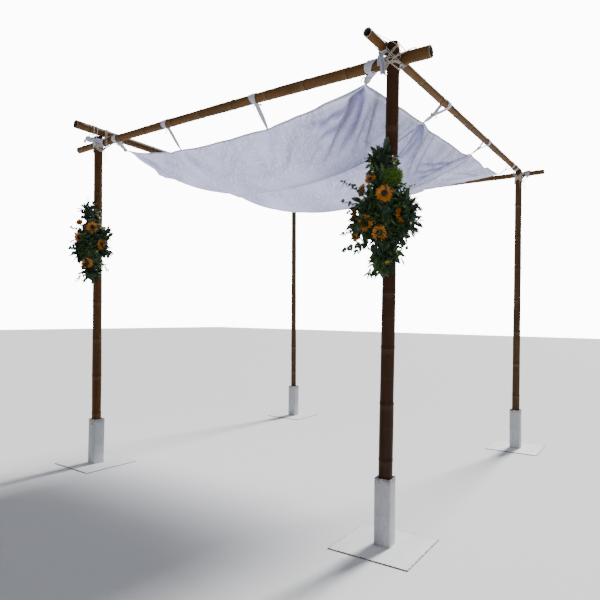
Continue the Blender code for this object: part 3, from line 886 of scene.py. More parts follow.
def hull_loop(through, normal, culms, clearance, wobble=0.0, draws=None):
    """A taut cord round some culms in one plane: the hull of their sections."""
    normal = normal.normalized()
    side = normal.orthogonal().normalized()
    across = normal.cross(side)
    flat = []
    for axis_point, axis, radius in culms:
        reach = (radius + clearance) / math.cos(math.pi / HULL_STEPS)
        slope = axis.dot(normal)
        centre = axis_point + axis * ((through - axis_point).dot(normal) / slope)
        long_way = (axis - normal * slope).normalized()
        short_way = normal.cross(long_way)
        for step in range(HULL_STEPS):
            angle = 2 * math.pi * step / HULL_STEPS
            spot = centre + long_way * math.cos(angle) * reach / abs(slope)
            spot += short_way * math.sin(angle) * reach
            offset = spot - through
            flat.append(Vector((offset.dot(side), offset.dot(across))))
    order = geometry.convex_hull_2d(flat)
    loop = [through + side * flat[i].x + across * flat[i].y for i in order]
    tidy = []
    for i, point in enumerate(loop):
        tidy.append(point)
        gap = loop[(i + 1) % len(loop)] - point
        for step in range(1, int(gap.length / 0.012) + 1):
            tidy.append(point + gap * step / (int(gap.length / 0.012) + 1))
    if draws:
        tidy = [p + normal * draws.uniform(-wobble, wobble) for p in tidy]
    return tidy


def ring_loop(middle, axis, radius, count=30):
    side = axis.orthogonal().normalized()
    across = axis.cross(side)
    return [middle + (side * math.cos(a) + across * math.sin(a)) * radius
            for a in (2 * math.pi * step / count for step in range(count))]


def build_lashing(name, post, lower, lower_at, upper, upper_at, number):
    """Many strands of twine: crossed turns round post and beam, turns round both beams, and a collar."""
    draws = random.Random(300 + number)
    strand = sizes().twine
    low = LOWER_AXIS[name] - LOWER_RADIUS[name] - 0.026
    post_part = (post.point(low), post.direction(low), post.radius(low) + 0.0022)
    lower_part = (lower.point(lower_at), lower.direction(lower_at), lower.radius(lower_at) + 0.0008)
    upper_part = (upper.point(upper_at), upper.direction(upper_at), upper.radius(upper_at) + 0.0008)
    shape = Shape()
    pitch = strand * 2.1
    turns = 2 if name == "front" else 6
    for layer, lean in enumerate((1.0, -1.0)):
        for turn in range(turns):
            through = post.point(low + 0.002 * lean + (turn - (turns - 1) / 2) * pitch * 1.2)
            clearance = strand * (1.2 + 1.9 * layer)
            path = hull_loop(through, Vector((lean, draws.uniform(-0.04, 0.04), 1.0)), (post_part, lower_part),
                             clearance, 0.0006, draws)
            add_tube(shape, path, strand, closed=True)
    away = math.copysign(1.0, UPPER_INSET[name])
    for turn in range(1, 3) if name == "front" else range(5):
        normal = Vector((away, 1.0, 0.0)).normalized()
        through = upper_part[0] + normal * (turn - 2) * pitch
        path = hull_loop(through, Vector((away, 1.0, draws.uniform(-0.05, 0.05))), (lower_part, upper_part),
                         strand * 1.2, 0.0006, draws)
        add_tube(shape, path, strand, closed=True)
    for turn in range(4 if name == "front" else 7):
        drop = low + (3 - turn) * pitch * 1.05 - 0.003
        tilt = Vector((draws.uniform(-0.03, 0.03), draws.uniform(-0.03, 0.03), 0.0))
        axis = (post.direction(drop) + tilt).normalized()
        add_tube(shape, ring_loop(post.point(drop), axis, post.radius(drop) + 0.0022 + strand * 1.1),
                 strand, closed=True)
    if name == "front":
        thin = strand * 0.95
        top_part = (post.point(low), post.direction(low), post.radius(low) + 0.0022)
        for turn in range(4):
            lean = (1.0 if turn % 2 else -1.0) * draws.uniform(1.1, 1.4)
            through = post.point(low + 0.045 + 0.008 * turn)
            path = hull_loop(through, Vector((lean, draws.uniform(-0.05, 0.05), 1.0)), (top_part, lower_part),
                             strand * draws.uniform(2.4, 3.2))
            add_tube(shape, path, thin, closed=True)
        for turn in range(2):
            lean = (1.0 if turn % 2 else -1.0) * draws.uniform(0.9, 1.1)
            through = post.point(UPPER_TURNS + 0.014 * turn)
            path = hull_loop(through, Vector((draws.uniform(-0.05, 0.05), lean, 1.0)), (top_part, upper_part),
                             strand * (1.0 + 0.4 * turn))
            add_tube(shape, path, thin, closed=True)
        for turn in range(3):
            at = upper_at - 0.062 - 0.0060 * turn
            tilt = Vector((draws.uniform(-0.08, 0.08), 0.0, draws.uniform(-0.08, 0.08)))
            axis = (upper.direction(at) + tilt).normalized()
            add_tube(shape, ring_loop(upper.point(at), axis, upper.radius(at) + 0.0022 + thin), thin, closed=True)
        crown = post.point(CORNERS[name]["top"])
        for turn in range(3):
            reach = post.radius(low) * (0.9 - 0.2 * turn)
            face = Vector((math.cos(0.5 + turn), math.sin(0.5 + turn), 0.0))
            arc = [crown + face * reach * math.cos(a) + UP * (reach * (0.45 + 0.1 * turn) * math.sin(a) - 0.012)
                   for a in (math.pi * step / 12 for step in range(13))]
            add_tube(shape, arc, thin)
    for tail in range(3):
        angle = draws.uniform(0, 2 * math.pi)
        out = Vector((math.cos(angle), math.sin(angle), 0.0))
        start = post.point(low - 0.004 * tail) + out * (post.radius(low) + strand * 2)
        length = draws.uniform(0.05, 0.15)
        drift = Vector((draws.uniform(-0.02, 0.02), draws.uniform(-0.02, 0.02), 0.0))
        path = [start, start + out * 0.010 - UP * 0.004, start + out * 0.014 - UP * length * 0.4 + drift * 0.4,
                start + out * 0.010 - UP * length * 0.75 + drift, start + out * 0.012 - UP * length + drift * 1.3]
        add_tube(shape, smooth_path(path), strand * 0.85)
    return shape.make(f"twine_{name}", (twine_finish(),), (f"lashing_{name}",))


def add_ribbon(shape, path, sides, widths, thick, folds=2.0, depth=0.0012, columns=9, seed=0, finish=0):
    """A strip of cloth along a path. sides gives its width's direction at each point."""
    draws = random.Random(seed)
    phase = draws.uniform(0, 6.28)
    count = len(path)
    tangents, _ = frames_along(path)
    top, bottom, grain = [], [], []
    run = 0.0
    for i, point in enumerate(path):
        if i:
            run += (point - path[i - 1]).length
        tangent = tangents[i]
        side = sides[i] - tangent * sides[i].dot(tangent)
        side.normalize()
        normal = side.cross(tangent).normalized()
        width = widths[i]
        for column in range(columns):
            share = column / (columns - 1) * 2 - 1
            wave = math.sin(share * math.pi * folds + phase + 0.8 * math.sin(run * 23 + phase))
            lift = depth * wave * (1 + 0.5 * math.sin(run * 40 + 3 * share + phase))
            spot = point + side * share * width / 2 + normal * lift
            top.append(spot + normal * thick / 2)
            bottom.append(spot - normal * thick / 2)
            grain.append((share * 0.03 + seed * 0.37, run, 0.0))
    upper = grid_faces(count, columns)
    lower = [tuple(reversed([i + count * columns for i in face])) for face in upper]
    total = count * columns
    rim = list(range(columns)) + [r * columns + columns - 1 for r in range(1, count)]
    rim += [(count - 1) * columns + c for c in range(columns - 2, -1, -1)]
    rim += [r * columns for r in range(count - 2, 0, -1)]
    walls = [(b, a, total + a, total + b) for a, b in zip(rim, rim[1:] + rim[:1])]
    shape.add(top + bottom, upper + lower + walls, grain + grain, finish=finish)


def add_knot(shape, centre, axis, size, seed, finish=0):
    """A lump of tied cloth: a squashed ball with deep folds round the pull."""
    draws = random.Random(seed)
    phase = draws.uniform(0, 6.28)
    side = axis.orthogonal().normalized()
    across = axis.cross(side)
    rows, columns = 13, 22
    spots, grain = [], []
    for row in range(rows):
        polar = math.pi * (row + 0.02) / (rows - 1 + 0.04)
        for column in range(columns):
            angle = 2 * math.pi * column / columns
            fold = 1 + 0.13 * math.sin(5 * angle + phase + 2.5 * polar) + 0.07 * math.sin(9 * angle - 3 * polar)
            reach = size * math.sin(polar) * fold * (1 + 0.18 * math.sin(2 * polar + phase))
            out = side * math.cos(angle) + across * math.sin(angle) * 0.78
            spots.append(centre + out * reach + axis * size * 0.95 * math.cos(polar))
            grain.append((angle * 0.02, polar * 0.02, seed * 0.1))
    faces = grid_faces(rows, columns, wrap=True)
    faces.append(tuple(reversed(range(columns))))
    faces.append(tuple((rows - 1) * columns + s for s in range(columns)))
    shape.add(spots, faces, grain, finish=finish)


# How each tie is knotted: share of the way to the cloth where its knot sits, width, loose ends, bulk
TIE_STYLES = {
    "front_left": (0.12, 0.9, 1, 2.6),
    "front_1": (0.10, 1.0, 1, 1.0),
    "front_2": (0.08, 1.0, 2, 1.0),
    "front_right": (0.55, 0.95, 1, 2.0),
    "right_1": (0.50, 1.0, 2, 1.5),
    "right_2": (0.42, 0.9, 1, 1.2),
    "rear_right": (0.40, 0.7, 0, 0.9),
}
# How far along the beam a tie's turns slant
TIE_SLANTS = {"front_right": 0.055, "front_1": 0.010, "front_2": -0.010}


def build_tie(name, beam, at, number):
    """A cotton ribbon wound round the beam, knotted, and run down in two strands to the cloth's edge."""
    knot_at, wide, tails, bulk = TIE_STYLES.get(name, (0.3, 0.85, 1, 0.9))
    draws = random.Random(500 + number)
    anchor = ANCHORS[name] + CENTRE
    centre, along = beam.point(at), beam.direction(at)
    inward = anchor - centre
    inward -= along * inward.dot(along)
    inward -= UP * inward.dot(UP)
    inward.normalize()
    width = sizes().ribbon * wide
    shape = Shape()
    reach = beam.radius(at) + 0.0016
    target = Vector(((anchor - centre).dot(inward), (anchor - centre).dot(UP)))
    aim = math.atan2(target.y, target.x)
    leave = aim + math.acos(min(0.999, reach / target.length))
    arrive = aim - math.acos(min(0.999, reach / target.length))
    slant = (anchor - centre).dot(along)
    for layer in range(2):
        path, sides, widths = [], [], []
        start = leave + 0.3 * layer
        sweep = 2 * math.pi + (arrive - leave) + (0.35 if layer else 0.0)
        steps = 34
        for step in range(steps + 1):
            share = step / steps
            angle = start + sweep * share
            shift = (layer - 0.5) * width * 0.35 + (share - 0.5) * width * 0.30 * (1 - 2 * layer)
            shift += TIE_SLANTS.get(name, 0.0) * math.sin(angle - aim) * 0.6
            radius = reach + 0.0014 * layer + 0.0008 * math.sin(7 * angle + number)
            path.append(centre + (inward * math.cos(angle) + UP * math.sin(angle)) * radius + along * shift)
            sides.append(along)
            narrow = 0.62 + 0.38 * math.sin(math.pi * share)
            widths.append(width * narrow * (0.95 - 0.18 * layer))
        add_ribbon(shape, path, sides, widths, sizes().cloth, 2.5, 0.0011, seed=number * 7 + layer)
    hang = anchor - centre
    knot = centre + hang * (reach / hang.length + (1 - reach / hang.length) * knot_at)
    knot_size = 0.0105 * bulk
    for strand, angle in enumerate((leave, arrive + 2 * math.pi)):
        tip = centre + (inward * math.cos(angle) + UP * math.sin(angle)) * reach
        tip += along * (0.006 if strand else -0.006)
        bow = along * draws.uniform(0.004, 0.011) * (1 if strand else -1)
        gather = knot + along * (0.003 if strand else -0.003)
        path = smooth_path([tip, tip.lerp(gather, 0.5) + bow * 0.3, gather,
                            gather.lerp(anchor, 0.5) + bow, anchor + bow * 0.15], 7)
        sides = [along] * len(path)
        widths = []
        for i in range(len(path)):
            share = i / (len(path) - 1)
            widths.append(width * (0.42 * (1 - share) ** 2 + 0.24 + 0.22 * math.sin(math.pi * share)) * bulk ** 0.5)
        add_ribbon(shape, path, sides, widths, sizes().cloth * 1.1, 1.5, 0.0022, 7, seed=number * 11 + strand)
    add_knot(shape, knot, hang.normalized(), knot_size, number)
    add_knot(shape, anchor - hang.normalized() * 0.002, hang.normalized(), 0.0062 * bulk, number + 60)
    for tail in range(tails):
        out = (along * (1 if tail else -1) + Vector((0.3, -0.5, 0.1)) * 0.6).normalized()
        length = draws.uniform(0.030, 0.055)
        path = smooth_path([knot, knot + out * length * 0.4 + UP * 0.006, knot + out * length * 0.8 - UP * 0.002,
                            knot + out * length - UP * length * draws.uniform(0.3, 0.8)], 6)
        flare = [width * (0.18 + 0.22 * i / (len(path) - 1)) for i in range(len(path))]
        add_ribbon(shape, path, [hang.normalized().cross(out).normalized()] * len(path), flare, sizes().cloth,
                   1.2, 0.0018, 7, seed=number * 13 + tail)
    finish = cotton_finish("cotton_ribbon", 0.78, 420.0, 0.0, 0.35, 0.0006)
    item = shape.make(f"ribbon_{name}", (finish,), (f"tie_{name}",))
    return item


def add_wrap(shape, beam, at, width, seed, layers=2, slant=0.0):
    """A strip of cloth wound round a culm, each layer narrower and a little askew."""
    centre, along = beam.point(at), beam.direction(at)
    side = along.orthogonal().normalized()
    across = along.cross(side)
    draws = random.Random(seed)
    for layer in range(layers):
        path, sides, widths = [], [], []
        start = draws.uniform(0, 2 * math.pi)
        lean = draws.uniform(-0.15, 0.15) * width + slant
        for step in range(41):
            share = step / 40
            angle = start + 2.15 * math.pi * share
            radius = beam.radius(at) + 0.0026 + 0.0016 * layer + 0.0012 * share
            shift = lean * math.sin(angle) + width * 0.3 * (layer / max(1, layers - 1) - 0.5)
            path.append(centre + (side * math.cos(angle) + across * math.sin(angle)) * radius + along * shift)
            sides.append(along)
            widths.append(width * (0.85 - 0.2 * layer))
        add_ribbon(shape, path, sides, widths, sizes().cloth, 2.5, 0.0015, 9, seed + layer)


def add_tail(shape, spots, side, width, seed, flare=1.25):
    """A loose end of cloth through some spots."""
    path = smooth_path(spots, 7)
    widths = [width * (0.7 + (flare - 0.7) * i / (len(path) - 1)) for i in range(len(path))]
    add_ribbon(shape, path, [side] * len(path), widths, sizes().cloth, 1.6, 0.0026, 9, seed)


def build_corner_cloths(posts, beams):
    """Strips of the same cotton tied over the lashings of the left, front and right corners."""
    finish = cotton_finish("cotton_ribbon", 0.78, 420.0, 0.0, 0.35, 0.0006)
    upper, post = beams["upper_left"], posts["left"]
    shape = Shape()
    hub = post.point(LOWER_AXIS["left"])
    near, far = hub + Vector((0.014, -0.058, -0.012)), hub + Vector((-0.022, -0.088, -0.006))
    add_knot(shape, near, Vector((1.0, 0.2, 0.3)).normalized(), 0.026, 27)
    add_knot(shape, far, Vector((0.3, 0.2, 1.0)).normalized(), 0.028, 28)
    add_ribbon(shape, smooth_path([far, far.lerp(near, 0.5) + Vector((0.0, -0.012, -0.012)), near,
                                   hub + Vector((0.050, -0.030, -0.020)), hub + Vector((0.052, 0.010, -0.024))], 7),
               [UP] * 29, [0.040] * 29, sizes().cloth, 2.0, 0.0030, 9, 26)
    for at, low in ((-0.160, far), (-0.125, near)):
        culm_part = (upper.point(at), upper.direction(at), upper.radius(at) + 0.0022)
        knot_part = (low, upper.direction(at), 0.014)
        ring = hull_loop(upper.point(at), upper.direction(at) + Vector((0.15, 0.0, 0.1)), (culm_part, knot_part),
                         0.0016)
        add_tube(shape, ring, 0.0030, closed=True)
    add_wrap(shape, post, LOWER_AXIS["left"] - 0.052, 0.030, 21)
    add_tail(shape, [far, far + Vector((-0.014, -0.016, 0.006)), far + Vector((-0.026, -0.020, -0.012)),
                     far + Vector((-0.030, -0.018, -0.034))], Vector((0.4, 0.3, 0.8)), 0.020, 29)
    add_tail(shape, [near, near + Vector((0.018, -0.016, -0.016)), near + Vector((0.026, -0.014, -0.040)),
                     near + Vector((0.030, -0.010, -0.060))], Vector((0.8, 0.5, 0.1)), 0.022, 30)
    shape.make("cloth_wrap_left", (finish,), ())
    post = posts["front"]
    hub = post.point(LOWER_AXIS["front"])
    shape = Shape()
    add_tail(shape, [hub + Vector(spot) for spot in (
        (-0.066, 0.050, 0.109), (-0.092, 0.042, 0.098), (-0.108, 0.036, 0.066), (-0.100, 0.032, 0.025),
        (-0.090, 0.028, -0.020), (-0.084, 0.022, -0.060), (-0.080, 0.016, -0.098))],
        Vector((0.90, 0.42, 0.0)), 0.038, 31, 1.0)
    add_tail(shape, [hub + Vector(spot) for spot in (
        (-0.096, 0.050, 0.095), (-0.110, 0.040, 0.060), (-0.118, 0.030, 0.020), (-0.112, 0.026, -0.030))],
        Vector((0.90, 0.42, 0.1)), 0.024, 32, 0.9)
    add_wrap(shape, beams["upper_right"], -0.075, 0.030, 36, 2)
    knot = hub + Vector((0.044, 0.006, -0.084))
    add_knot(shape, knot, Vector((1.0, 0.3, 0.2)).normalized(), 0.0065, 34)
    add_tail(shape, [knot, knot + Vector((0.008, -0.003, 0.006)), knot + Vector((0.017, 0.0, 0.005)),
                     knot + Vector((0.021, 0.001, -0.006))], Vector((0.1, 0.9, 0.5)), 0.008, 35)
    shape.make("cloth_wrap_front", (finish,), ())
    rear, side_beam = beams["lower_rear"], beams["upper_right"]
    shape = Shape()
    add_wrap(shape, rear, rear.length + 0.080, 0.045, 41)
    add_wrap(shape, side_beam, side_beam.length - 0.105, 0.040, 44)
    knot = rear.point(rear.length + 0.070) + Vector((0.0, -0.036, -0.004))
    add_knot(shape, knot, Vector((1.0, 0.1, 0.3)).normalized(), 0.013, 46)
    add_tail(shape, [knot, knot + Vector((0.010, -0.010, -0.012)), knot + Vector((0.016, -0.010, -0.034)),
                     knot + Vector((0.014, -0.006, -0.052))], Vector((0.8, 0.5, 0.1)), 0.018, 47)
    shape.make("cloth_wrap_right", (finish,), ())


# The canopy cloth

CLOTH_WIDTH = 2.70
CLOTH_LENGTH = 2.80
BELLY_MIDDLE = 0.56
RIDGE_AT = 0.335
RIDGE_SHARE = 0.40
RIDGE_WIDTH = 0.085
REAR_RIDGE_AT = 0.66
REAR_RIDGE_SHARE = 0.12
REAR_RIDGE_WIDTH = 0.08
# Cloth bunched at each tie, in metres, and how far its folds run
BUNCHED = {
    "front_left": (0.035, 0.30), "front_1": (0.022, 0.25), "front_2": (0.022, 0.30), "front_right": (0.120, 0.55),
    "right_1": (0.095, 0.85), "right_2": (0.095, 0.85), "rear_right": (0.080, 0.45), "rear_1": (0.050, 0.45),
    "rear_2": (0.050, 0.45), "rear_left": (0.060, 0.40), "left_1": (0.022, 0.40), "left_2": (0.018, 0.40),
}


def side_line(names, share, inward, down):
    """Points along one side of the cloth, sagging a little between its ties."""
    run = share * 3
    index = np.minimum(run.astype(int), 2)
    local = (run - index)[..., None]
    spots = np.array([tuple(ANCHORS[name] + CENTRE) for name in names])
    dip = np.sin(np.pi * local) ** 2
    line = spots[index] * (1 - local) + spots[index + 1] * local
    return line + np.array(inward) * dip - np.array((0.0, 0.0, 1.0)) * down * dip


def hanging_shape(count):
    """The cloth as it hangs, without its folds: a front lobe, a slack ridge and a rear lobe."""
    u = np.linspace(0, 1, count)[None, :] * np.ones((count, 1))
    v = np.linspace(0, 1, count)[:, None] * np.ones((1, count))
    front = side_line(CLOTH_SIDES["front"], u, (0.0, 0.030, 0.0), 0.012)
    rear = side_line(CLOTH_SIDES["rear"], u, (0.0, -0.030, 0.0), 0.012)
    left = side_line(CLOTH_SIDES["left"], v, (0.050, 0.0, 0.0), 0.160)
    right = side_line(CLOTH_SIDES["right"], v, (-0.050, 0.0, 0.0), 0.012)
    a, b, c, d = (np.array(tuple(ANCHORS[name] + CENTRE))
                  for name in ("front_left", "front_right", "rear_left", "rear_right"))
    u3, v3 = u[..., None], v[..., None]
    flat = a * (1 - u3) * (1 - v3) + b * u3 * (1 - v3) + c * (1 - u3) * v3 + d * u3 * v3
    spots = front * (1 - v3) + rear * v3 + left * (1 - u3) + right * u3 - flat
    power = np.where(u < BELLY_MIDDLE, 1.9, 2.8 - 0.8 * np.clip((v - 0.5) * 5, 0, 1))
    reach = np.where(u < BELLY_MIDDLE, (BELLY_MIDDLE - u) / BELLY_MIDDLE, (u - BELLY_MIDDLE) / (1 - BELLY_MIDDLE))
    across = 1 - reach ** power
    far = np.abs(2 * v - 1)
    along = np.where(v < 0.5, 1 - far ** 4, np.cos(np.pi / 2 * far) ** 2)
    ridge = RIDGE_SHARE * np.exp(-((v - RIDGE_AT) / RIDGE_WIDTH) ** 2)
    rear_ridge = REAR_RIDGE_SHARE * np.exp(-((v - REAR_RIDGE_AT) / REAR_RIDGE_WIDTH) ** 2)
    spots[..., 2] -= sizes().belly * across * along * (1 - ridge - rear_ridge)
    return spots


def bunching(count):
    """How much longer the cloth is than its smooth shape, along each way, for the folds at its ties."""
    step = np.arange(count) / (count - 1)
    half = (np.arange(count - 1) + 0.5) / (count - 1)
    extra_u = np.ones((count, count - 1))
    extra_v = np.ones((count - 1, count))
    for side, names in CLOTH_SIDES.items():
        for index, name in enumerate(names):
            amount, run = BUNCHED[name]
            if side in ("front", "rear"):
                depth = (step if side == "front" else 1 - step)[:, None] * CLOTH_LENGTH
                offset = (half - index / 3)[None, :] * CLOTH_WIDTH
                target = extra_u
            else:
                depth = (step if side == "left" else 1 - step)[None, :] * CLOTH_WIDTH
                offset = (half - index / 3)[:, None] * CLOTH_LENGTH
                target = extra_v
            spread = 0.05 + 0.20 * depth
            target += amount * np.exp(-depth / run) / (spread * math.sqrt(math.pi)) * np.exp(-(offset / spread) ** 2)
    return extra_u, extra_v


def span(points, du, dv):
    """Lengths from each point of the grid to the one du columns and dv rows on."""
    rows, columns = points.shape[:2]
    rest = np.zeros((rows, columns))
    first = points[:rows - dv, max(0, -du):columns - max(0, du)]
    second = points[dv:, max(0, du):columns + min(0, du)]
    rest[:rows - dv, max(0, -du):columns - max(0, du)] = np.linalg.norm(second - first, axis=-1)
    return rest


def cloth_pairs(smooth):
    """Rest lengths of threads, diagonals and bends, in sets in which no point is used twice."""
    rows, columns = smooth.shape[:2]
    extra_u, extra_v = bunching(rows)
    along_u = span(smooth, 1, 0)
    along_u[:, :-1] *= extra_u
    along_v = span(smooth, 0, 1)
    along_v[:-1] *= extra_v
    cross = np.hypot(along_u, along_v)
    back = np.zeros((rows, columns))
    back[:-1, 1:] = np.hypot(along_u[:-1, :-1], along_v[:-1, 1:])
    bend_u = np.zeros((rows, columns))
    bend_u[:, :-2] = along_u[:, :-2] + along_u[:, 1:-1]
    bend_v = np.zeros((rows, columns))
    bend_v[:-2] = along_v[:-2] + along_v[1:-1]
    sets = []
    for du, dv, rest, stiff in ((1, 0, along_u, 1.0), (0, 1, along_v, 1.0), (1, 1, cross, 0.5),
                                (-1, 1, back, 0.5), (2, 0, bend_u, 0.10), (0, 2, bend_v, 0.10)):
        reach = max(abs(du), dv if not du else 0)
        for first in range(2 * reach):
            if du:
                starts = range(first + max(0, -du), columns - max(0, du), 2 * reach)
                a = (slice(0, rows - dv), slice(starts.start, starts.stop, 2 * reach))
                stop = starts.stop + du
                b = (slice(dv, rows), slice(starts.start + du, stop, 2 * reach))
            else:
                a = (slice(first, rows - dv, 2 * reach), slice(0, columns))
                b = (slice(first + dv, rows, 2 * reach), slice(0, columns))
            sets.append((a, b, rest[a][..., None], stiff))
    return sets


def held_points(count):
    """Points of the cloth's edge that its ties hold."""
    held = np.zeros((count, count), bool)
    step = np.arange(count) / (count - 1)
    for index in range(4):
        grip = 0.060 if index in (0, 3) else 0.045
        near_u = np.abs(step - index / 3) * CLOTH_WIDTH <= grip
        near_v = np.abs(step - index / 3) * CLOTH_LENGTH <= grip
        held[0, near_u] = held[-1, near_u] = True
        held[near_v, 0] = held[near_v, -1] = True
    return held


def resampled(points, count):
    """The grid of points with count rows and columns, in between them on straight lines."""
    place = np.linspace(0, len(points) - 1, count)
    index = np.minimum(place.astype(int), len(points) - 2)
    share = (place - index)[:, None, None]
    points = points[index] * (1 - share) + points[index + 1] * share
    points = points.swapaxes(0, 1)
    points = points[index] * (1 - share) + points[index + 1] * share
    return points.swapaxes(0, 1)


FOLD_GAIN = 1.35
CLOTH_LEVELS = ((31, 60, 10), (61, 60, 12), (121, 26, 12), (201, 12, 10))


def relaxed_cloth():
    """Lets the bunched cloth fold: thread lengths are kept, the ties hold, and it stays near its smooth shape."""
    draws = np.random.default_rng(3)
    points = None
    for level, (count, steps, passes) in enumerate(CLOTH_LEVELS):
        smooth = hanging_shape(count)
        held = held_points(count)
        free = np.where(held, 0.0, 1.0)[..., None]
        points = smooth.copy() if points is None else resampled(points, count)
        points += free * draws.normal(0, 0.004 / (1 + 2 * level * level), points.shape)
        points[held] = smooth[held]
        sets = cloth_pairs(smooth)
        before = points.copy()
        fall = 0.5 * (0.5 / (count - 1)) ** 2
        for _ in range(steps):
            speed = (points - before) * 0.9
            before = points.copy()
            points = points + free * (speed + 0.01 * (smooth - points))
            points[..., 2] -= free[..., 0] * fall
            for _ in range(passes):
                for a, b, rest, stiff in sets:
                    near, far = points[a], points[b]
                    gap = far - near
                    length = np.sqrt(np.einsum("ijk,ijk->ij", gap, gap))[..., None] + 1e-12
                    move = gap * stiff * (length - rest) / (length * (free[a] + free[b] + 1e-9))
                    near += free[a] * move
                    far -= free[b] * move
    points = smooth + (1 + (FOLD_GAIN - 1) * free) * (points - smooth)
    for _ in range(3):
        middle = (points[:-2, 1:-1] + points[2:, 1:-1] + points[1:-1, :-2] + points[1:-1, 2:]) / 4
        points[1:-1, 1:-1] += 0.35 * (middle - points[1:-1, 1:-1])
    for _ in range(14):
        for rim in range(4):
            for line, loose in ((points[rim], free[rim]), (points[-1 - rim], free[-1 - rim]),
                                (points[:, rim], free[:, rim]), (points[:, -1 - rim], free[:, -1 - rim])):
                line[1:-1] += (0.5 - 0.1 * rim) * loose[1:-1] * ((line[:-2] + line[2:]) / 2 - line[1:-1])
    return points


# Folds that each tie draws through the cloth: how many, the ways of the first and the last in degrees from straight
# across towards the left side, length, height, half width and depth of the painted shade along them
TIE_FOLDS = {
    "front_right": (4, 8, 42, 0.62, 0.020, 0.019, 0.55),
    "right_1": (4, 20, 50, 0.42, 0.013, 0.013, 0.55),
    "right_2": (5, -66, -30, 0.60, 0.013, 0.013, 0.60),
    "rear_right": (2, -74, -62, 0.95, 0.011, 0.016, 0.40),
    "front_2": (1, 62, 62, 0.32, 0.007, 0.014, 0.20),
    "front_1": (1, 107, 107, 0.32, 0.006, 0.014, 0.15),
    "front_left": (1, 136, 136, 0.50, 0.008, 0.018, 0.20),
}
# How much a fold bends along its length, as a share of it
FOLD_BEND = 0.06
# Soft patches of painted shade on the cloth: place, reach both ways, depth of the painted shade
PAINTED_SHADE_PATCHES = (
    (2.55, 0.30, 0.42, 0.30, 0.34), (2.35, 1.15, 0.36, 0.55, 0.26), (1.70, 0.78, 0.75, 0.13, 0.40),
    (2.20, 0.62, 0.30, 0.22, 0.22), (1.50, 1.62, 0.85, 0.24, 0.30),
)


def drawn_folds(u, v):
    """Height of the drawn folds over the cloth, and the painted shade laid along them and in the patches."""
    relief = np.zeros_like(u)
    painted_shade = np.zeros_like(u)
    for name, (count, first, last, length, height, width, tone) in TIE_FOLDS.items():
        side, index = next((side, names.index(name)) for side, names in CLOTH_SIDES.items() if name in names)
        u0 = {"left": 0.0, "right": CLOTH_WIDTH}.get(side, CLOTH_WIDTH * index / 3)
        v0 = {"front": 0.0, "rear": CLOTH_LENGTH}.get(side, CLOTH_LENGTH * index / 3)
        for way in np.radians(np.linspace(first, last, count)):
            across = (u0 - u) * math.cos(way) + (v - v0) * math.sin(way)
            share = np.clip(across / length, 0, 1)
            bend = FOLD_BEND * length * np.sin(np.pi * share)
            aside = (u0 - u) * math.sin(way) - (v - v0) * math.cos(way) + bend
            away = np.hypot(aside, across - share * length)
            fade = np.sin(np.pi * np.clip(0.12 + 0.88 * share, 0, 1)) ** 0.6
            relief += height * np.exp(-(away / width) ** 2) * fade
            painted_shade += tone * np.exp(-(away / (width * 0.8)) ** 2) * fade
    for u0, v0, wide, long, tone in PAINTED_SHADE_PATCHES:
        painted_shade += tone * np.exp(-((u - u0) / wide) ** 2 - ((v - v0) / long) ** 2)
    return relief, painted_shade


def build_canopy():
    """One cotton sheet with a folded hem, tied all round and hanging in two lobes."""
    grid = relaxed_cloth()
    count = len(grid)
    du = np.gradient(grid, axis=1)
    dv = np.gradient(grid, axis=0)
    normal = np.cross(du, dv)
    normal /= np.linalg.norm(normal, axis=-1, keepdims=True) + 1e-12
    u = np.linspace(0, CLOTH_WIDTH, count)[None, :] * np.ones((count, 1))
    v = np.linspace(0, CLOTH_LENGTH, count)[:, None] * np.ones((1, count))
    rim = np.minimum(np.minimum(u, CLOTH_WIDTH - u), np.minimum(v, CLOTH_LENGTH - v))
    half = sizes().cloth / 2 * np.where(rim < 0.012, 2.2, 1.0)[..., None]
    relief, painted_shade = drawn_folds(u, v)
    grid = grid + normal * (relief * np.clip(rim / 0.05, 0, 1))[..., None]
    # The ring mark: distance to the edge near the rim, elsewhere 1 plus the painted shade of the folds and patches
    painted_shade = np.where(rim < 0.02, rim, 1 + np.clip(painted_shade, 0, 1))
    points = np.concatenate([(grid + normal * half).reshape(-1, 3), (grid - normal * half).reshape(-1, 3)])
    index = np.arange(count * count).reshape(count, count)
    a, b, c, d = index[:-1, :-1], index[:-1, 1:], index[1:, 1:], index[1:, :-1]
    upper = np.stack([a, b, c, d], -1).reshape(-1, 4)
    lower = upper[:, ::-1] + count * count
    edge = np.concatenate([index[0, :-1], index[:-1, -1], index[-1, :0:-1], index[:0:-1, 0]])
    after = np.roll(edge, -1)
    walls = np.stack([after, edge, edge + count * count, after + count * count], -1)
    shape = Shape()
    grain = np.stack([u, v, np.zeros_like(u)], -1).reshape(-1, 3)
    shape.add(points.tolist(), np.concatenate([upper, lower, walls]).tolist(),
              np.concatenate([grain, grain]).tolist(), np.concatenate([painted_shade.ravel()] * 2).tolist())
    item = shape.make("canopy_cloth", (canopy_finish(),), ("canopy",), sharp=180.0)
    return item


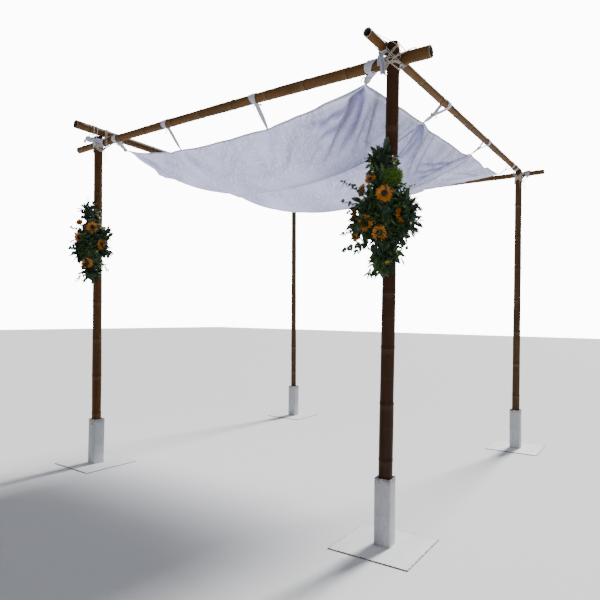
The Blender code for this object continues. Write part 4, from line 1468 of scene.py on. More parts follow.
def canopy_finish():
    """Cotton that lets some light through, so that its underside glows; its hem and its folds are darkened with
    painted shade.
    """
    tone = colours().cotton
    bright = (min(1.0, tone[0] * 1.36), min(1.0, tone[1] * 1.36), min(1.0, tone[2] * 1.32), 1.0)
    finish = material("cotton_canopy", "cotton_weave", {"Colour": bright, "Shade": rgba(bright, 0.72),
                                                        "Threads": 150.0, "Ripple": 1.6}, 0.75, 0.0035,
                      Roughness=0.88, Sheen_Weight=0.2, Sheen_Roughness=0.5, Specular_IOR_Level=0.25)
    tree = finish.node_tree
    kit = Nodes(tree)
    shader = tree.nodes["Principled BSDF"]
    weave = next(node for node in tree.nodes if node.bl_idname == "ShaderNodeGroup").outputs["Colour"]
    rim = kit.attribute("ring", "Fac")
    # Painted shade along the hem, darker near the edge
    hem = kit.math("MULTIPLY", kit.ramp(rim, 0.013, 0.010), 0.45)
    tone = kit.mix(hem, weave, (0.30, 0.30, 0.38, 1.0))
    # Painted shade of the folds and patches, where the ring mark runs from 1 to 2
    tone = kit.mix(kit.ramp(rim, 1.0, 2.0), tone, (0.27, 0.265, 0.43, 1.0))
    kit.feed(shader.inputs["Base Color"], tone)
    glow = kit.add("ShaderNodeBsdfTranslucent", {"Color": tone})
    kit.feed(glow.inputs["Normal"], tree.nodes["Bump"].outputs["Normal"])
    both = kit.add("ShaderNodeMixShader", {0: 0.72, 1: shader.outputs[0], 2: glow.outputs[0]})
    kit.feed(tree.nodes["Material Output"].inputs["Surface"], both.outputs[0])
    return finish


# Flowers and leaves

def blade_width(kind, t):
    if kind == "round":
        return math.sqrt(max(0.0, 1 - (2 * t - 1) ** 2))
    if kind == "pointed":
        return (t ** 0.55) * (1 - t) ** 0.95 * 2.05
    if kind == "petal":
        return math.sin(math.pi * min(1.0, 0.16 + 0.84 * t)) ** 0.75 * (1.0 if t < 0.5 else 1.04 - 0.25 * (t - 0.5))
    if kind == "narrow":
        return math.sin(math.pi * t) ** 0.6
    return math.sin(math.pi * t ** 0.85) ** 0.8


def add_blade(shape, base, direction, facing, length, width, kind="oval", bend=0.2, fold=0.25, own=0.5,
              rows=7, columns=5, thick=0.0007, twist=0.0, finish=0):
    """A leaf or petal as a thin closed blade, folded along its rib and bent back along its length."""
    direction = direction.normalized()
    side = direction.cross(facing)
    side = side.normalized() if side.length > 0.01 else direction.orthogonal().normalized()
    normal = side.cross(direction)
    top, bottom, grain = [], [], []
    for row in range(rows):
        t = row / (rows - 1)
        wide = max(0.05, blade_width(kind, t)) * width / 2
        slope = direction * (1 - bend * t * 0.35) - normal * bend * t
        middle = base + slope * length * t
        lean = twist * t
        out = side * math.cos(lean) + normal * math.sin(lean)
        lift = normal * math.cos(lean) - side * math.sin(lean)
        for column in range(columns):
            across = column / (columns - 1) * 2 - 1
            spot = middle + out * across * wide + lift * (abs(across) * fold * wide)
            top.append(spot + lift * thick / 2)
            bottom.append(spot - lift * thick / 2)
            grain.append((across, t, own))
    upper = grid_faces(rows, columns)
    total = rows * columns
    lower = [tuple(i + total for i in reversed(face)) for face in upper]
    rim = list(range(columns)) + [r * columns + columns - 1 for r in range(1, rows)]
    rim += [(rows - 1) * columns + c for c in range(columns - 2, -1, -1)]
    rim += [r * columns for r in range(rows - 2, 0, -1)]
    walls = [(b, a, total + a, total + b) for a, b in zip(rim, rim[1:] + rim[:1])]
    shape.add(top + bottom, upper + lower + walls, grain + grain, finish=finish)


def add_dome(shape, centre, axis, radius, height, rows=8, columns=24, dip=0.0, rough=0.0, draws=None, finish=0):
    """A low closed dome, its ring mark 0 in the middle and 1 at the rim."""
    axis = axis.normalized()
    side = axis.orthogonal().normalized()
    across = axis.cross(side)
    spots, rings = [], []
    for row in range(rows):
        share = 1 - row / (rows - 1) * 0.97
        lift = height * (math.sqrt(max(0.0, 1 - share * share)) - dip * (1 - share) ** 2)
        for column in range(columns):
            angle = 2 * math.pi * (column + 0.5 * row) / columns
            jolt = draws.uniform(-rough, rough) if draws else 0.0
            out = side * math.cos(angle) + across * math.sin(angle)
            spots.append(centre + out * radius * share + axis * (lift + jolt))
            rings.append(share)
    faces = grid_faces(rows, columns, wrap=True)
    faces.append(tuple(reversed(range(columns))))
    faces.append(tuple((rows - 1) * columns + s for s in range(columns)))
    shape.add(spots, faces, spots, rings, finish=finish)


# Finishes of a spray's flowers, in the order of their slots
PETAL, RED_PETAL, DISK, CALYX, YELLOW, FRILL = range(6)
# Finishes of a spray's greenery
DARK_LEAF, MID_LEAF, LIGHT_LEAF, GREY_LEAF, TWIG, BERRY, CORD = range(7)


def leaf_finish(name, base, other, tip, fade=0.3, rib=0.4, rough=0.48, glow=0.0):
    made = material(name, "leaf_blade", {"Base": (*base, 1.0), "Other": (*other, 1.0), "Tip": (*tip, 1.0),
                                         "Fade": fade, "Rib": rib}, 0.35, 0.0008, Roughness=rough,
                    Specular_IOR_Level=0.4)
    return made


def flower_finishes():
    petal = tuple(colours().petal)
    return (
        leaf_finish("sunflower_petal", [c * 0.86 for c in petal], petal, (0.52, 0.22, 0.012), 0.5, 0.12, 0.55),
        leaf_finish("sunflower_petal_red", (0.42, 0.10, 0.018), (0.66, 0.22, 0.03), (0.75, 0.34, 0.04), 0.6, 0.1,
                    0.55),
        material("sunflower_disk", "seed_head", {"Dark": (0.020, 0.012, 0.006, 1.0),
                                                 "Light": (0.105, 0.050, 0.014, 1.0)}, 0.8, 0.0015,
                 Roughness=0.85),
        leaf_finish("flower_calyx", (0.10, 0.19, 0.04), (0.15, 0.25, 0.06), (0.20, 0.30, 0.08)),
        leaf_finish("yellow_petal", (0.42, 0.28, 0.02), (0.52, 0.36, 0.04), (0.60, 0.46, 0.10), 0.4, 0.1, 0.6),
        leaf_finish("green_frill", (0.045, 0.115, 0.010), (0.085, 0.18, 0.016), (0.15, 0.27, 0.03), 0.5, 0.0, 0.6),
    )


def green_finishes():
    leaf = tuple(colours().leaf)
    return (
        leaf_finish("leaf_dark", leaf, (leaf[0] * 0.8, leaf[1] * 1.25, leaf[2] * 1.9), (0.040, 0.070, 0.024)),
        leaf_finish("leaf_mid", (0.018, 0.048, 0.009), (0.036, 0.085, 0.015), (0.07, 0.13, 0.03)),
        leaf_finish("leaf_light", (0.085, 0.17, 0.022), (0.14, 0.24, 0.035), (0.22, 0.34, 0.07)),
        leaf_finish("leaf_eucalyptus", (0.022, 0.058, 0.052), (0.045, 0.085, 0.076), (0.10, 0.15, 0.13), 0.25,
                    0.25, 0.62),
        leaf_finish("twig", (0.060, 0.050, 0.025), (0.10, 0.12, 0.04), (0.12, 0.12, 0.05), 0.0, 0.0, 0.7),
        leaf_finish("berry", (0.020, 0.035, 0.045), (0.045, 0.065, 0.050), (0.06, 0.08, 0.07), 0.2, 0.0, 0.4),
        twine_finish(),
    )


class SprayPlace:
    """The place of a spray: sideways and outwards from its post, and up."""

    def __init__(self, name):
        self.name = name
        out = SPRAYS[name]["facing"]
        self.out = Vector((out[0], out[1], 0.0)).normalized()
        self.side = UP.cross(self.out)

    def spot(self, side, height, out):
        return post_axis(self.name, height) + self.side * side + self.out * out

    def aim(self, turn, lift):
        """The way a bloom faces: turned sideways and lifted from straight outwards, in degrees."""
        turn, lift = math.radians(turn), math.radians(lift)
        flat = self.out * math.cos(turn) + self.side * math.sin(turn)
        return (flat * math.cos(lift) + UP * math.sin(lift)).normalized()


# Each bloom's place: sideways, height, outwards, width, turn and lift of the way it faces
SPRAYS = {
    "front": {
        "facing": (0.446, -0.895),
        "masses": ((-0.045, 2.04, 0.085, 0.115, 0.330, 0.075), (-0.120, 2.00, 0.075, 0.110, 0.170, 0.065),
                   (0.075, 2.02, 0.075, 0.090, 0.190, 0.060), (-0.060, 2.33, 0.070, 0.080, 0.120, 0.050),
                   (-0.030, 1.76, 0.070, 0.075, 0.110, 0.050), (-0.190, 1.94, 0.070, 0.070, 0.055, 0.035)),
        "leaves": 1.0,
        "sunflowers": ((-0.038, 2.137, 0.150, 0.120, 4, 6, 0), (-0.150, 1.965, 0.130, 0.118, -24, 4, 0),
                       (-0.063, 1.898, 0.148, 0.105, -4, -10, 0), (0.062, 2.009, 0.120, 0.110, 66, 10, 0),
                       (-0.125, 2.237, 0.105, 0.082, -22, 28, 0), (-0.180, 2.176, 0.095, 0.088, -68, 22, 0),
                       (-0.222, 2.039, 0.085, 0.070, -60, 0, 0), (-0.213, 1.883, 0.082, 0.070, -52, -14, 0)),
        "buttons": ((-0.012, 1.727, 0.115, 0.036, 0, -8), (0.018, 2.348, 0.105, 0.034, 6, 20),
                    (-0.040, 1.742, 0.108, 0.026, -20, -10)),
        "frills": ((0.012, 2.243, 0.118, 0.064), (-0.100, 2.070, 0.105, 0.030)),
        "sprigs": (("grey", -0.13, 2.13, -0.29, 2.22), ("grey", -0.12, 2.05, -0.285, 2.10),
                   ("grey", -0.10, 1.93, -0.285, 1.90), ("grey", -0.09, 1.86, -0.275, 1.80),
                   ("narrow", -0.05, 2.24, -0.078, 2.425), ("narrow", -0.03, 2.24, -0.045, 2.40),
                   ("narrow", -0.07, 2.22, -0.120, 2.36), ("light", -0.09, 2.24, -0.125, 2.34),
                   ("light", 0.06, 2.12, 0.135, 2.19), ("light", 0.05, 2.05, 0.120, 2.09),
                   ("mid", 0.05, 1.97, 0.165, 1.975), ("dark", 0.05, 2.02, 0.165, 2.045),
                   ("dark", 0.04, 1.93, 0.130, 1.905), ("grey", 0.03, 1.88, 0.095, 1.82),
                   ("mid", -0.04, 1.84, -0.08, 1.66), ("mid", -0.06, 1.83, -0.12, 1.66),
                   ("dark", -0.02, 1.84, -0.03, 1.665), ("mid", 0.02, 1.85, 0.075, 1.74),
                   ("dark", -0.12, 1.86, -0.20, 1.79), ("grey", -0.02, 2.22, 0.02, 2.36)),
        "berries": ((-0.219, 2.205, 0.085), (-0.232, 2.190, 0.080), (-0.219, 2.120, 0.085), (-0.262, 2.035, 0.080),
                    (-0.250, 2.045, 0.085), (-0.240, 2.028, 0.078), (0.100, 2.13, 0.09), (0.090, 2.145, 0.085)),
    },
    "left": {
        "facing": (0.827, -0.561),
        "masses": ((-0.060, 2.05, 0.085, 0.110, 0.310, 0.070), (-0.120, 2.00, 0.075, 0.095, 0.170, 0.060),
                   (0.040, 2.06, 0.070, 0.075, 0.180, 0.055), (-0.080, 2.32, 0.065, 0.065, 0.090, 0.045),
                   (-0.060, 1.78, 0.065, 0.070, 0.085, 0.045)),
        "leaves": 0.75,
        "sunflowers": ((-0.047, 2.182, 0.145, 0.118, 8, 8, 0), (0.035, 2.029, 0.125, 0.112, 50, -6, 0),
                       (-0.165, 2.085, 0.110, 0.100, -40, 4, 1), (-0.090, 1.852, 0.125, 0.114, -6, -8, 0),
                       (-0.160, 2.230, 0.090, 0.070, -30, 20, 0)),
        "buttons": ((0.057, 2.186, 0.100, 0.040, 20, 20), (-0.010, 1.960, 0.120, 0.030, 0, 0)),
        "frills": ((-0.100, 1.975, 0.108, 0.042),),
        "sprigs": (("dark", -0.05, 2.24, -0.04, 2.40), ("dark", -0.07, 2.22, -0.115, 2.38),
                   ("narrow", -0.06, 2.23, -0.085, 2.43), ("grey", -0.11, 2.05, -0.235, 1.985),
                   ("grey", -0.11, 2.12, -0.225, 2.17), ("mid", -0.07, 1.84, -0.17, 1.70),
                   ("mid", -0.05, 1.82, -0.11, 1.70), ("dark", -0.03, 1.83, -0.045, 1.69),
                   ("mid", 0.01, 1.88, 0.085, 1.80), ("dark", 0.03, 1.97, 0.10, 1.94),
                   ("light", -0.01, 2.14, 0.02, 2.29), ("grey", 0.02, 2.12, 0.085, 2.17)),
        "berries": ((-0.215, 1.990, 0.080), (-0.200, 1.975, 0.085), (0.070, 2.10, 0.085)),
    },
}


def add_sunflower(shape, centre, facing, width, seed, red):
    draws = random.Random(seed)
    radius = width / 2
    disk = radius * 0.37
    side = facing.orthogonal().normalized()
    across = facing.cross(side)
    tint = RED_PETAL if red else PETAL
    for whorl, (count, lift, long) in enumerate(((18, 0.42, 0.92), (17, 0.14, 1.0), (13, -0.10, 0.93))):
        start = draws.uniform(0, 6.28)
        for petal in range(count):
            angle = start + 2 * math.pi * (petal + draws.uniform(-0.22, 0.22)) / count
            out = side * math.cos(angle) + across * math.sin(angle)
            tilt = lift + draws.uniform(-0.12, 0.12)
            base = centre + out * disk * 0.86 - facing * (0.0016 + 0.0022 * whorl)
            length = (radius * long - disk * 0.86) * draws.uniform(0.88, 1.08)
            add_blade(shape, base, out + facing * tilt, facing, length, radius * draws.uniform(0.24, 0.32),
                      "petal", draws.uniform(-0.10, 0.30), draws.uniform(0.15, 0.5), draws.random(), 7, 5,
                      0.0006, draws.uniform(-0.35, 0.35), tint)
    add_dome(shape, centre - facing * 0.003, facing, disk, disk * 0.50, 10, 34, 0.30, 0.0009, draws, DISK)
    add_dome(shape, centre - facing * 0.007, -facing, disk * 1.1, disk * 0.75, 5, 16, finish=CALYX)
    for sepal in range(16):
        angle = 2 * math.pi * (sepal + draws.uniform(-0.2, 0.2)) / 16
        out = side * math.cos(angle) + across * math.sin(angle)
        add_blade(shape, centre - facing * 0.010 + out * disk * 0.75, out - facing * 0.15, facing,
                  radius * draws.uniform(0.30, 0.42), radius * 0.20, "pointed", draws.uniform(-0.2, 0.4), 0.3,
                  draws.random(), 5, 3, 0.0008, 0.0, CALYX)


def add_frill(shape, centre, facing, radius, seed):
    """A bushy green bloom of many thin curling frills."""
    draws = random.Random(seed)
    add_dome(shape, centre, facing, radius * 0.55, radius * 0.55, 6, 16, finish=FRILL)
    add_dome(shape, centre, -facing, radius * 0.55, radius * 0.35, 5, 16, finish=CALYX)
    count = int(110 + 6000 * radius)
    for frill in range(count):
        z = 1 - 1.35 * (frill + 0.5) / count
        turn = frill * 2.39996
        side = facing.orthogonal().normalized()
        across = facing.cross(side)
        flat = math.sqrt(max(0.0, 1 - z * z))
        out = side * math.cos(turn) * flat + across * math.sin(turn) * flat + facing * z
        out += Vector((draws.uniform(-0.2, 0.2), draws.uniform(-0.2, 0.2), draws.uniform(-0.2, 0.2)))
        add_blade(shape, centre + out * radius * 0.42, out, out.orthogonal(), radius * draws.uniform(0.45, 0.66),
                  radius * 0.085, "narrow", draws.uniform(-0.4, 0.7), 0.3, draws.random(), 4, 3, 0.0006,
                  draws.uniform(-1, 1), FRILL)


def add_button(shape, centre, facing, width, seed):
    """A small yellow flower."""
    draws = random.Random(seed)
    side = facing.orthogonal().normalized()
    across = facing.cross(side)
    for whorl, (count, lift) in enumerate(((9, 0.7), (11, 0.25))):
        for petal in range(count):
            angle = 2 * math.pi * (petal + 0.5 * whorl + draws.uniform(-0.2, 0.2)) / count
            out = side * math.cos(angle) + across * math.sin(angle)
            add_blade(shape, centre + out * width * 0.08, out + facing * lift, facing, width * 0.42, width * 0.24,
                      "petal", 0.2, 0.3, draws.random(), 4, 3, 0.0006, 0.0, YELLOW)
    add_dome(shape, centre - facing * 0.001, facing, width * 0.16, width * 0.12, 5, 12, finish=YELLOW)
    add_dome(shape, centre - facing * 0.003, -facing, width * 0.13, width * 0.3, 5, 10, finish=CALYX)


def add_ball(shape, centre, radius, finish, rows=7, columns=10):
    spots = []
    for row in range(rows):
        polar = math.pi * (row + 0.05) / (rows - 1 + 0.1)
        for column in range(columns):
            angle = 2 * math.pi * column / columns
            spots.append(centre + Vector((math.sin(polar) * math.cos(angle), math.sin(polar) * math.sin(angle),
                                          math.cos(polar))) * radius)
    faces = grid_faces(rows, columns, wrap=True)
    faces = [tuple(reversed(face)) for face in faces]
    faces.append(tuple(range(columns)))
    faces.append(tuple(reversed([(rows - 1) * columns + s for s in range(columns)])))
    shape.add(spots, faces, [(0.4, 0.5, 0.5)] * len(spots), finish=finish)


# Leaves of a sprig: finish, blade, length, width share, gap between pairs, how far they open from the twig
SPRIGS = {
    "grey": (GREY_LEAF, "round", 0.036, 0.92, 0.020, 1.25),
    "narrow": (DARK_LEAF, "narrow", 0.060, 0.16, 0.011, 0.62),
    "light": (LIGHT_LEAF, "oval", 0.026, 0.55, 0.011, 0.95),
    "mid": (MID_LEAF, "pointed", 0.070, 0.34, 0.024, 0.70),
    "dark": (DARK_LEAF, "oval", 0.058, 0.48, 0.022, 0.80),
}


def add_sprig(shape, place, kind, start, tip, seed):
    """A twig with its leaves in pairs, growing smaller to the tip."""
    finish, blade, length, share, gap, opening = SPRIGS[kind]
    draws = random.Random(seed)
    middle = start.lerp(tip, 0.5) + place.out * draws.uniform(0.0, 0.03) + UP * draws.uniform(-0.01, 0.012)
    path = smooth_path([start, middle, tip], 8)
    add_tube(shape, path, 0.0017, 5, finish=TWIG, taper=True)
    total = (tip - start).length
    run = 0.25 * total
    turn = draws.uniform(0, 3)
    while run < total:
        step = run / total * (len(path) - 1)
        index = min(int(step), len(path) - 2)
        point = path[index].lerp(path[index + 1], step - index)
        along = (path[index + 1] - path[index]).normalized()
        side = along.orthogonal().normalized()
        across = along.cross(side)
        turn += 1.4
        size = length * (1.05 - 0.45 * run / total) * draws.uniform(0.8, 1.15)
        for half in (0, math.pi):
            out = side * math.cos(turn + half) + across * math.sin(turn + half)
            direction = along + out * opening * draws.uniform(0.8, 1.2)
            facing = (place.out * 0.8 + UP * 0.6 + along * 0.6 + Vector((draws.uniform(-0.4, 0.4),
                      draws.uniform(-0.4, 0.4), 0.0)))
            add_blade(shape, point, direction, facing, size, size * share, blade, draws.uniform(0.0, 0.4), 0.22,
                      draws.random(), 6, 5, 0.0007, draws.uniform(-0.3, 0.3), finish)
        run += gap * draws.uniform(0.85, 1.2)
    add_blade(shape, path[-1], path[-1] - path[-2], place.out + UP, length * 0.6, length * 0.6 * share, blade,
              0.1, 0.2, draws.random(), 6, 5, 0.0007, 0.0, finish)


def add_moss(shape, place, centre, wide, tall, deep, seed):
    """A lumpy pad of moss that the stems are set in."""
    draws = random.Random(seed)
    rows, columns = 14, 22
    spots, grain = [], []
    for row in range(rows):
        polar = math.pi * (row + 0.05) / (rows - 1 + 0.1)
        for column in range(columns):
            angle = 2 * math.pi * column / columns
            lump = 1 + draws.uniform(-0.12, 0.12)
            x = math.sin(polar) * math.sin(angle) * lump
            y = math.sin(polar) * math.cos(angle) * lump
            spot = centre + place.side * x * wide + place.out * y * deep + UP * math.cos(polar) * tall * lump
            axis = post_axis(place.name, spot.z)
            gap = spot - axis
            gap.z = 0.0
            if gap.length < 0.050:
                spot += gap.normalized() * (0.050 - gap.length)
            spots.append(spot)
            grain.append((draws.uniform(-1, 1), 0.2, draws.uniform(0, 0.5)))
    faces = [tuple(reversed(face)) for face in grid_faces(rows, columns, wrap=True)]
    faces.append(tuple(range(columns)))
    faces.append(tuple(reversed([(rows - 1) * columns + s for s in range(columns)])))
    shape.add(spots, faces, grain, finish=DARK_LEAF)


def build_greens(name):
    """Leaves of several kinds set in masses, sprigs that stand out of them, stems and the twine that holds them."""
    place = SprayPlace(name)
    spray = SPRAYS[name]
    draws = random.Random(sizes().seed + (0 if name == "front" else 50))
    shape = Shape()
    masses = spray["masses"]
    weights = [wide * tall for _, _, _, wide, tall, _ in masses]
    kinds = (("dark", 0.34), ("mid", 0.24), ("grey", 0.18), ("light", 0.16), ("narrow", 0.08))
    count = int(sizes().leaves * spray["leaves"])
    for leaf in range(count):
        side, height, out, wide, tall, deep = draws.choices(masses, weights)[0]
        kind = draws.choices([k for k, _ in kinds], [w for _, w in kinds])[0]
        finish, blade, length, share, _, _ = SPRIGS[kind]
        turn = draws.uniform(-1.9, 1.9)
        rise = math.asin(draws.uniform(-0.97, 0.97))
        depth = draws.uniform(0.35, 0.88)
        x = math.sin(turn) * math.cos(rise)
        y = math.cos(turn) * math.cos(rise)
        z = math.sin(rise)
        base = place.spot(side + x * wide * depth, height + z * tall * depth, out + y * deep * depth)
        radial = place.side * x + place.out * y + UP * z * 0.75
        stray = Vector((draws.uniform(-0.5, 0.5), draws.uniform(-0.5, 0.5), draws.uniform(-0.45, 0.55)))
        direction = radial * 0.7 + stray
        facing = place.out + UP * 0.7 + Vector((draws.uniform(-0.8, 0.8), draws.uniform(-0.8, 0.8), 0.0))
        size = length * draws.uniform(0.85, 1.35)
        axis = post_axis(name, base.z)
        if (base + direction.normalized() * size - axis).to_2d().length < 0.052:
            continue
        if (base - axis).to_2d().length < 0.052:
            continue
        add_blade(shape, base, direction, facing, size, size * share, blade, draws.uniform(-0.1, 0.5),
                  draws.uniform(0.1, 0.4), draws.random(), 6, 5, 0.0007, draws.uniform(-0.5, 0.5), finish)
    for index, (side, height, out, wide, tall, deep) in enumerate(masses):
        add_moss(shape, place, place.spot(side, height, out), wide * 0.66, tall * 0.72, deep * 0.60, 60 + index)
    for index, (kind, side, height, tip_side, tip_height) in enumerate(spray["sprigs"]):
        start = place.spot(side, height, 0.085)
        tip = place.spot(tip_side, tip_height, 0.085 + 0.035 * draws.random())
        add_sprig(shape, place, kind, start, tip, 900 + index)
    for side, height, out in spray["berries"]:
        add_ball(shape, place.spot(side, height, out), 0.0085, BERRY)
        root = place.spot(side * 0.6, height - 0.05, 0.08)
        add_tube(shape, smooth_path([root, place.spot(side * 0.85, height - 0.02, out * 0.95),
                                     place.spot(side, height - 0.004, out)], 5), 0.0010, 5, finish=TWIG)
    bundle_out = post_radius(name, 2.0) + 0.018
    for stem in range(7):
        lean = (stem - 3) * 0.006
        low = place.spot(lean, 1.74 + 0.02 * (stem % 3), bundle_out)
        high = place.spot(lean * 1.6 - 0.02, 2.26 - 0.03 * (stem % 2), bundle_out + 0.012)
        add_tube(shape, smooth_path([low, low.lerp(high, 0.5) + place.side * lean * 0.5, high], 6), 0.0042, 7,
                 finish=TWIG)
    for band in (1.86, 1.99, 2.16):
        for turn in range(4):
            height = band + (turn - 1.5) * 0.0045
            post_part = (post_axis(name, height), UP, post_radius(name, height) + 0.0022)
            stem_part = (place.spot(0.0, height, bundle_out), UP, 0.020)
            tilt = Vector((draws.uniform(-0.05, 0.05), draws.uniform(-0.05, 0.05), 1.0))
            path = hull_loop(post_axis(name, height), tilt, (post_part, stem_part), sizes().twine)
            add_tube(shape, path, sizes().twine, closed=True, finish=CORD)
    return shape.make(f"greens_{name}", green_finishes(), (f"flower_spray_{name}",), sharp=60.0)


def build_flowers(name):
    place = SprayPlace(name)
    spray = SPRAYS[name]
    shape = Shape()
    gain = sizes().flower / 0.125
    for index, (side, height, out, width, turn, lift, red) in enumerate(spray["sunflowers"]):
        centre, facing = place.spot(side, height, out), place.aim(turn, lift)
        add_sunflower(shape, centre, facing, width * gain, 70 + index, red)
        stem = [centre - facing * 0.018, centre - facing * 0.05 - UP * 0.02,
                place.spot(side * 0.35, height - 0.13, 0.075)]
        add_tube(shape, smooth_path(stem, 6), 0.0042, 7, finish=CALYX)
    for index, (side, height, out, width, turn, lift) in enumerate(spray["buttons"]):
        centre, facing = place.spot(side, height, out), place.aim(turn, lift)
        add_button(shape, centre, facing, width, 170 + index)
        add_tube(shape, smooth_path([centre - facing * 0.008, centre - facing * 0.03 - UP * 0.02,
                                     place.spot(side * 0.5, height - 0.09, 0.075)], 5), 0.0014, 5, finish=CALYX)
    for index, (side, height, out, radius) in enumerate(spray["frills"]):
        centre = place.spot(side, height, out)
        add_frill(shape, centre, place.aim(0, 15), radius, 270 + index)
        add_tube(shape, smooth_path([centre - place.out * radius * 0.3, place.spot(side * 0.7, height - 0.08, 0.08),
                                     place.spot(side * 0.4, height - 0.16, 0.07)], 5), 0.0030, 6, finish=CALYX)
    return shape.make(f"flowers_{name}", flower_finishes(), (), sharp=60.0)


# Floor, light and camera

def build_stage():
    settings = bpy.context.scene.chuppah_stage
    mesh = bpy.data.meshes.new("studio_floor")
    reach = 40.0
    mesh.from_pydata([(-reach, -reach, 0), (reach, -reach, 0), (reach, reach, 0), (-reach, reach, 0)], [],
                     [(0, 1, 2, 3)])
    floor = bpy.data.objects.new("studio_floor", mesh)
    bpy.context.scene.collection.objects.link(floor)
    finish = bpy.data.materials.new("studio_floor")
    finish.use_nodes = True
    shader = finish.node_tree.nodes["Principled BSDF"]
    shader.inputs["Base Color"].default_value = rgba(settings.floor)
    shader.inputs["Roughness"].default_value = 0.9
    mesh.materials.append(finish)
    world = bpy.data.worlds.new("studio_world")
    world.use_nodes = True
    kit = Nodes(world.node_tree)
    sky = world.node_tree.nodes["Background"]
    sky.inputs["Color"].default_value = (0.90, 0.94, 1.0, 1.0)
    sky.inputs["Strength"].default_value = settings.sky
    backdrop = kit.add("ShaderNodeBackground", {"Color": (1.0, 1.0, 1.0, 1.0), "Strength": settings.backdrop})
    seen = kit.add("ShaderNodeLightPath").outputs["Is Camera Ray"]
    both = kit.add("ShaderNodeMixShader", {0: seen, 1: sky.outputs[0], 2: backdrop.outputs[0]})
    kit.feed(world.node_tree.nodes["World Output"].inputs["Surface"], both.outputs[0])
    bpy.context.scene.world = world
    for name, way, spread, strength in (("key_light", (0.07, 0.99, 0.90), 0.20, settings.key),
                                        ("fill_light", (0.70, -0.65, 0.55), 1.2, settings.key * 0.035)):
        light = bpy.data.lights.new(name, "SUN")
        light.angle = spread
        light.energy = strength
        item = bpy.data.objects.new(name, light)
        item.rotation_euler = Vector(way).to_track_quat("Z", "Y").to_euler()
        bpy.context.scene.collection.objects.link(item)


def place_camera():
    """The camera stands where the photograph was taken from."""
    forward = Vector((math.sin(EYE_YAW) * math.cos(EYE_PITCH), math.cos(EYE_YAW) * math.cos(EYE_PITCH),
                      math.sin(EYE_PITCH)))
    right = forward.cross(UP).normalized()
    above = right.cross(forward)
    tilted = right * math.cos(EYE_ROLL) + above * math.sin(EYE_ROLL)
    upright = above * math.cos(EYE_ROLL) - right * math.sin(EYE_ROLL)
    view = bpy.data.cameras.new("photo_view")
    view.lens = EYE_LENS
    view.sensor_width = 36.0
    item = bpy.data.objects.new("photo_view", view)
    turn = Matrix((tilted, upright, -forward)).transposed()
    item.matrix_world = Matrix.Translation(EYE) @ turn.to_4x4()
    bpy.context.scene.collection.objects.link(item)
    bpy.context.scene.camera = item


# Operators

class CHUPPAH_OT_feet(bpy.types.Operator):
    """Draws the four painted plates and the sleeves welded to them"""
    bl_idname = "chuppah.feet"
    bl_label = "Plates and sleeves"

    def execute(self, context):
        tone = colours().paint
        plate = material("painted_plate", "brushed_paint", {"Colour": rgba(tone), "Shade": rgba(tone, 0.86),
                                                            "Brush": 60.0, "Chips": 13.0}, 0.25, 0.0006,
                         Specular_IOR_Level=0.5)
        # Painted shade: the sleeves are the plates' white made darker and bluer, and darker still towards the top
        sleeve = material("painted_sleeve", "brushed_paint", {
            "Colour": (tone[0] * 0.76, tone[1] * 0.77, tone[2] * 0.84, 1.0),
            "Shade": (tone[0] * 0.46, tone[1] * 0.47, tone[2] * 0.51, 1.0),
            "Brush": 80.0, "Chips": 15.0, "Fade": 0.85}, 0.20, 0.0005, Specular_IOR_Level=0.35)
        # Painted shade: near black for the plates' side faces
        bare_steel_and_edge_shade = material("plate_edge", "brushed_paint", {"Colour": (0.055, 0.052, 0.048, 1.0),
                                                        "Shade": (0.030, 0.027, 0.024, 1.0)}, 0.25, 0.0006,
                        Specular_IOR_Level=0.2)
        for bead, name in enumerate(CORNERS):
            build_plate(name, plate, bare_steel_and_edge_shade)
            build_sleeve(name, sleeve, bead)
        return {"FINISHED"}


class CHUPPAH_OT_posts(bpy.types.Operator):
    """Draws the four bamboo posts"""
    bl_idname = "chuppah.posts"
    bl_label = "Bamboo posts"

    def execute(self, context):
        finishes = bamboo_finishes()
        finish = {"left": "tan", "front": "brown", "right": "grey", "back": "grey"}
        for index, (name, post) in enumerate(all_posts().items()):
            corner = CORNERS[name]
            start = SLEEVE_FOOT + corner["foot"] * Vector(corner["lean"]).length / (LEAN_HEAD - LEAN_FOOT)
            nodes = post.nodes(start, corner["top"], 0.46 + 0.05 * index, [(LOWER_AXIS[name], 0.19)])
            build_culm(f"bamboo_post_{name}", post, start, corner["top"], nodes, finishes[finish[name]], {},
                       (f"post_{name}",), index)
        return {"FINISHED"}


class CHUPPAH_OT_beams(bpy.types.Operator):
    """Draws the four bamboo beams with their open ends"""
    bl_idname = "chuppah.beams"
    bl_label = "Bamboo beams"

    def execute(self, context):
        finishes = bamboo_finishes()
        for index, (name, beam) in enumerate(all_beams().items()):
            before, after = OVERHANGS[name]
            keep = [(beam.length * share, 0.075) for _, share in BEAM_TIES[name]]
            keep += [(0.0, JOINT_CLEAR), (beam.length, JOINT_CLEAR)]
            nodes = beam.nodes(-before, beam.length + after, NODE_OFFSETS[name], keep)
            build_culm(f"bamboo_beam_{name}", beam, -before, beam.length + after, nodes,
                       finishes["olive"], {"start": 0.12, "end": 0.12 if after > 0.1 else 0.05},
                       (f"beam_{name}",), 10 + index)
        return {"FINISHED"}


class CHUPPAH_OT_lashings(bpy.types.Operator):
    """Draws the twine that lashes posts and beams, and the cloth strips tied over three of the corners"""
    bl_idname = "chuppah.lashings"
    bl_label = "Lashings"

    def execute(self, context):
        posts, beams = all_posts(), all_beams()
        ends = {
            "left": (beams["lower_front"], 0.0, beams["upper_left"], 0.0),
            "front": (beams["lower_front"], beams["lower_front"].length, beams["upper_right"], 0.0),
            "right": (beams["lower_rear"], beams["lower_rear"].length, beams["upper_right"],
                      beams["upper_right"].length),
            "back": (beams["lower_rear"], 0.0, beams["upper_left"], beams["upper_left"].length),
        }
        for number, (name, parts) in enumerate(ends.items()):
            build_lashing(name, posts[name], *parts, number)
        build_corner_cloths(posts, beams)
        return {"FINISHED"}


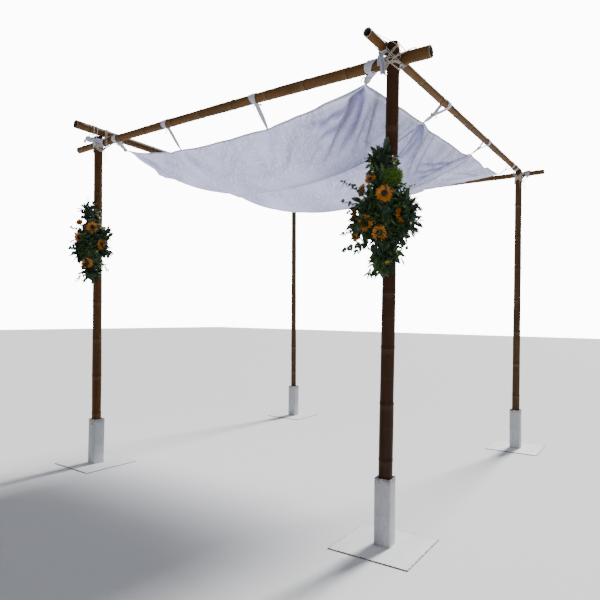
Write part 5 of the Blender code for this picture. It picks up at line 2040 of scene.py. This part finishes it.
class CHUPPAH_OT_canopy(bpy.types.Operator):
    """Drapes the canopy cloth"""
    bl_idname = "chuppah.canopy"
    bl_label = "Canopy"

    def execute(self, context):
        build_canopy()
        return {"FINISHED"}


class CHUPPAH_OT_ties(bpy.types.Operator):
    """Draws the twelve ribbons that hold the cloth to the beams"""
    bl_idname = "chuppah.ties"
    bl_label = "Cloth ties"

    def execute(self, context):
        number = 0
        beams = all_beams()
        for beam_name, ties in BEAM_TIES.items():
            beam = beams[beam_name]
            for name, share in ties:
                number += 1
                build_tie(name, beam, beam.length * share, number)
        return {"FINISHED"}


class CHUPPAH_OT_sprays(bpy.types.Operator):
    """Draws the two sprays of sunflowers and leaves"""
    bl_idname = "chuppah.sprays"
    bl_label = "Flower sprays"

    def execute(self, context):
        for name in SPRAYS:
            build_greens(name)
            build_flowers(name)
        return {"FINISHED"}


class CHUPPAH_OT_stage(bpy.types.Operator):
    """Sets the pale floor, the lights and the camera"""
    bl_idname = "chuppah.stage"
    bl_label = "Floor, light and camera"

    def execute(self, context):
        build_stage()
        place_camera()
        return {"FINISHED"}


OPERATORS = (CHUPPAH_OT_feet, CHUPPAH_OT_posts, CHUPPAH_OT_beams, CHUPPAH_OT_lashings, CHUPPAH_OT_ties,
             CHUPPAH_OT_canopy, CHUPPAH_OT_sprays, CHUPPAH_OT_stage)


class CHUPPAH_PT_panel(bpy.types.Panel):
    """Lists the pieces of the chuppah"""
    bl_label = "Wedding chuppah"
    bl_idname = "CHUPPAH_PT_panel"
    bl_space_type = "VIEW_3D"
    bl_region_type = "UI"
    bl_category = "Chuppah"

    def draw(self, context):
        scene = context.scene
        for settings in (scene.chuppah_sizes, scene.chuppah_colours, scene.chuppah_stage):
            for key in settings.bl_rna.properties.keys():
                if key not in ("rna_type", "name"):
                    self.layout.prop(settings, key)
        for operator in OPERATORS:
            self.layout.operator(operator.bl_idname)


CLASSES = (ChuppahSizes, ChuppahColours, ChuppahStage, *OPERATORS, CHUPPAH_PT_panel)


def register():
    for item in CLASSES:
        bpy.utils.register_class(item)
    bpy.types.Scene.chuppah_sizes = PointerProperty(type=ChuppahSizes)
    bpy.types.Scene.chuppah_colours = PointerProperty(type=ChuppahColours)
    bpy.types.Scene.chuppah_stage = PointerProperty(type=ChuppahStage)


def unregister():
    del bpy.types.Scene.chuppah_stage
    del bpy.types.Scene.chuppah_colours
    del bpy.types.Scene.chuppah_sizes
    for item in reversed(CLASSES):
        bpy.utils.unregister_class(item)


def main():
    register()
    for operator in OPERATORS:
        group, action = operator.bl_idname.split(".")
        getattr(getattr(bpy.ops, group), action)()


if __name__ == "__main__":
    main()
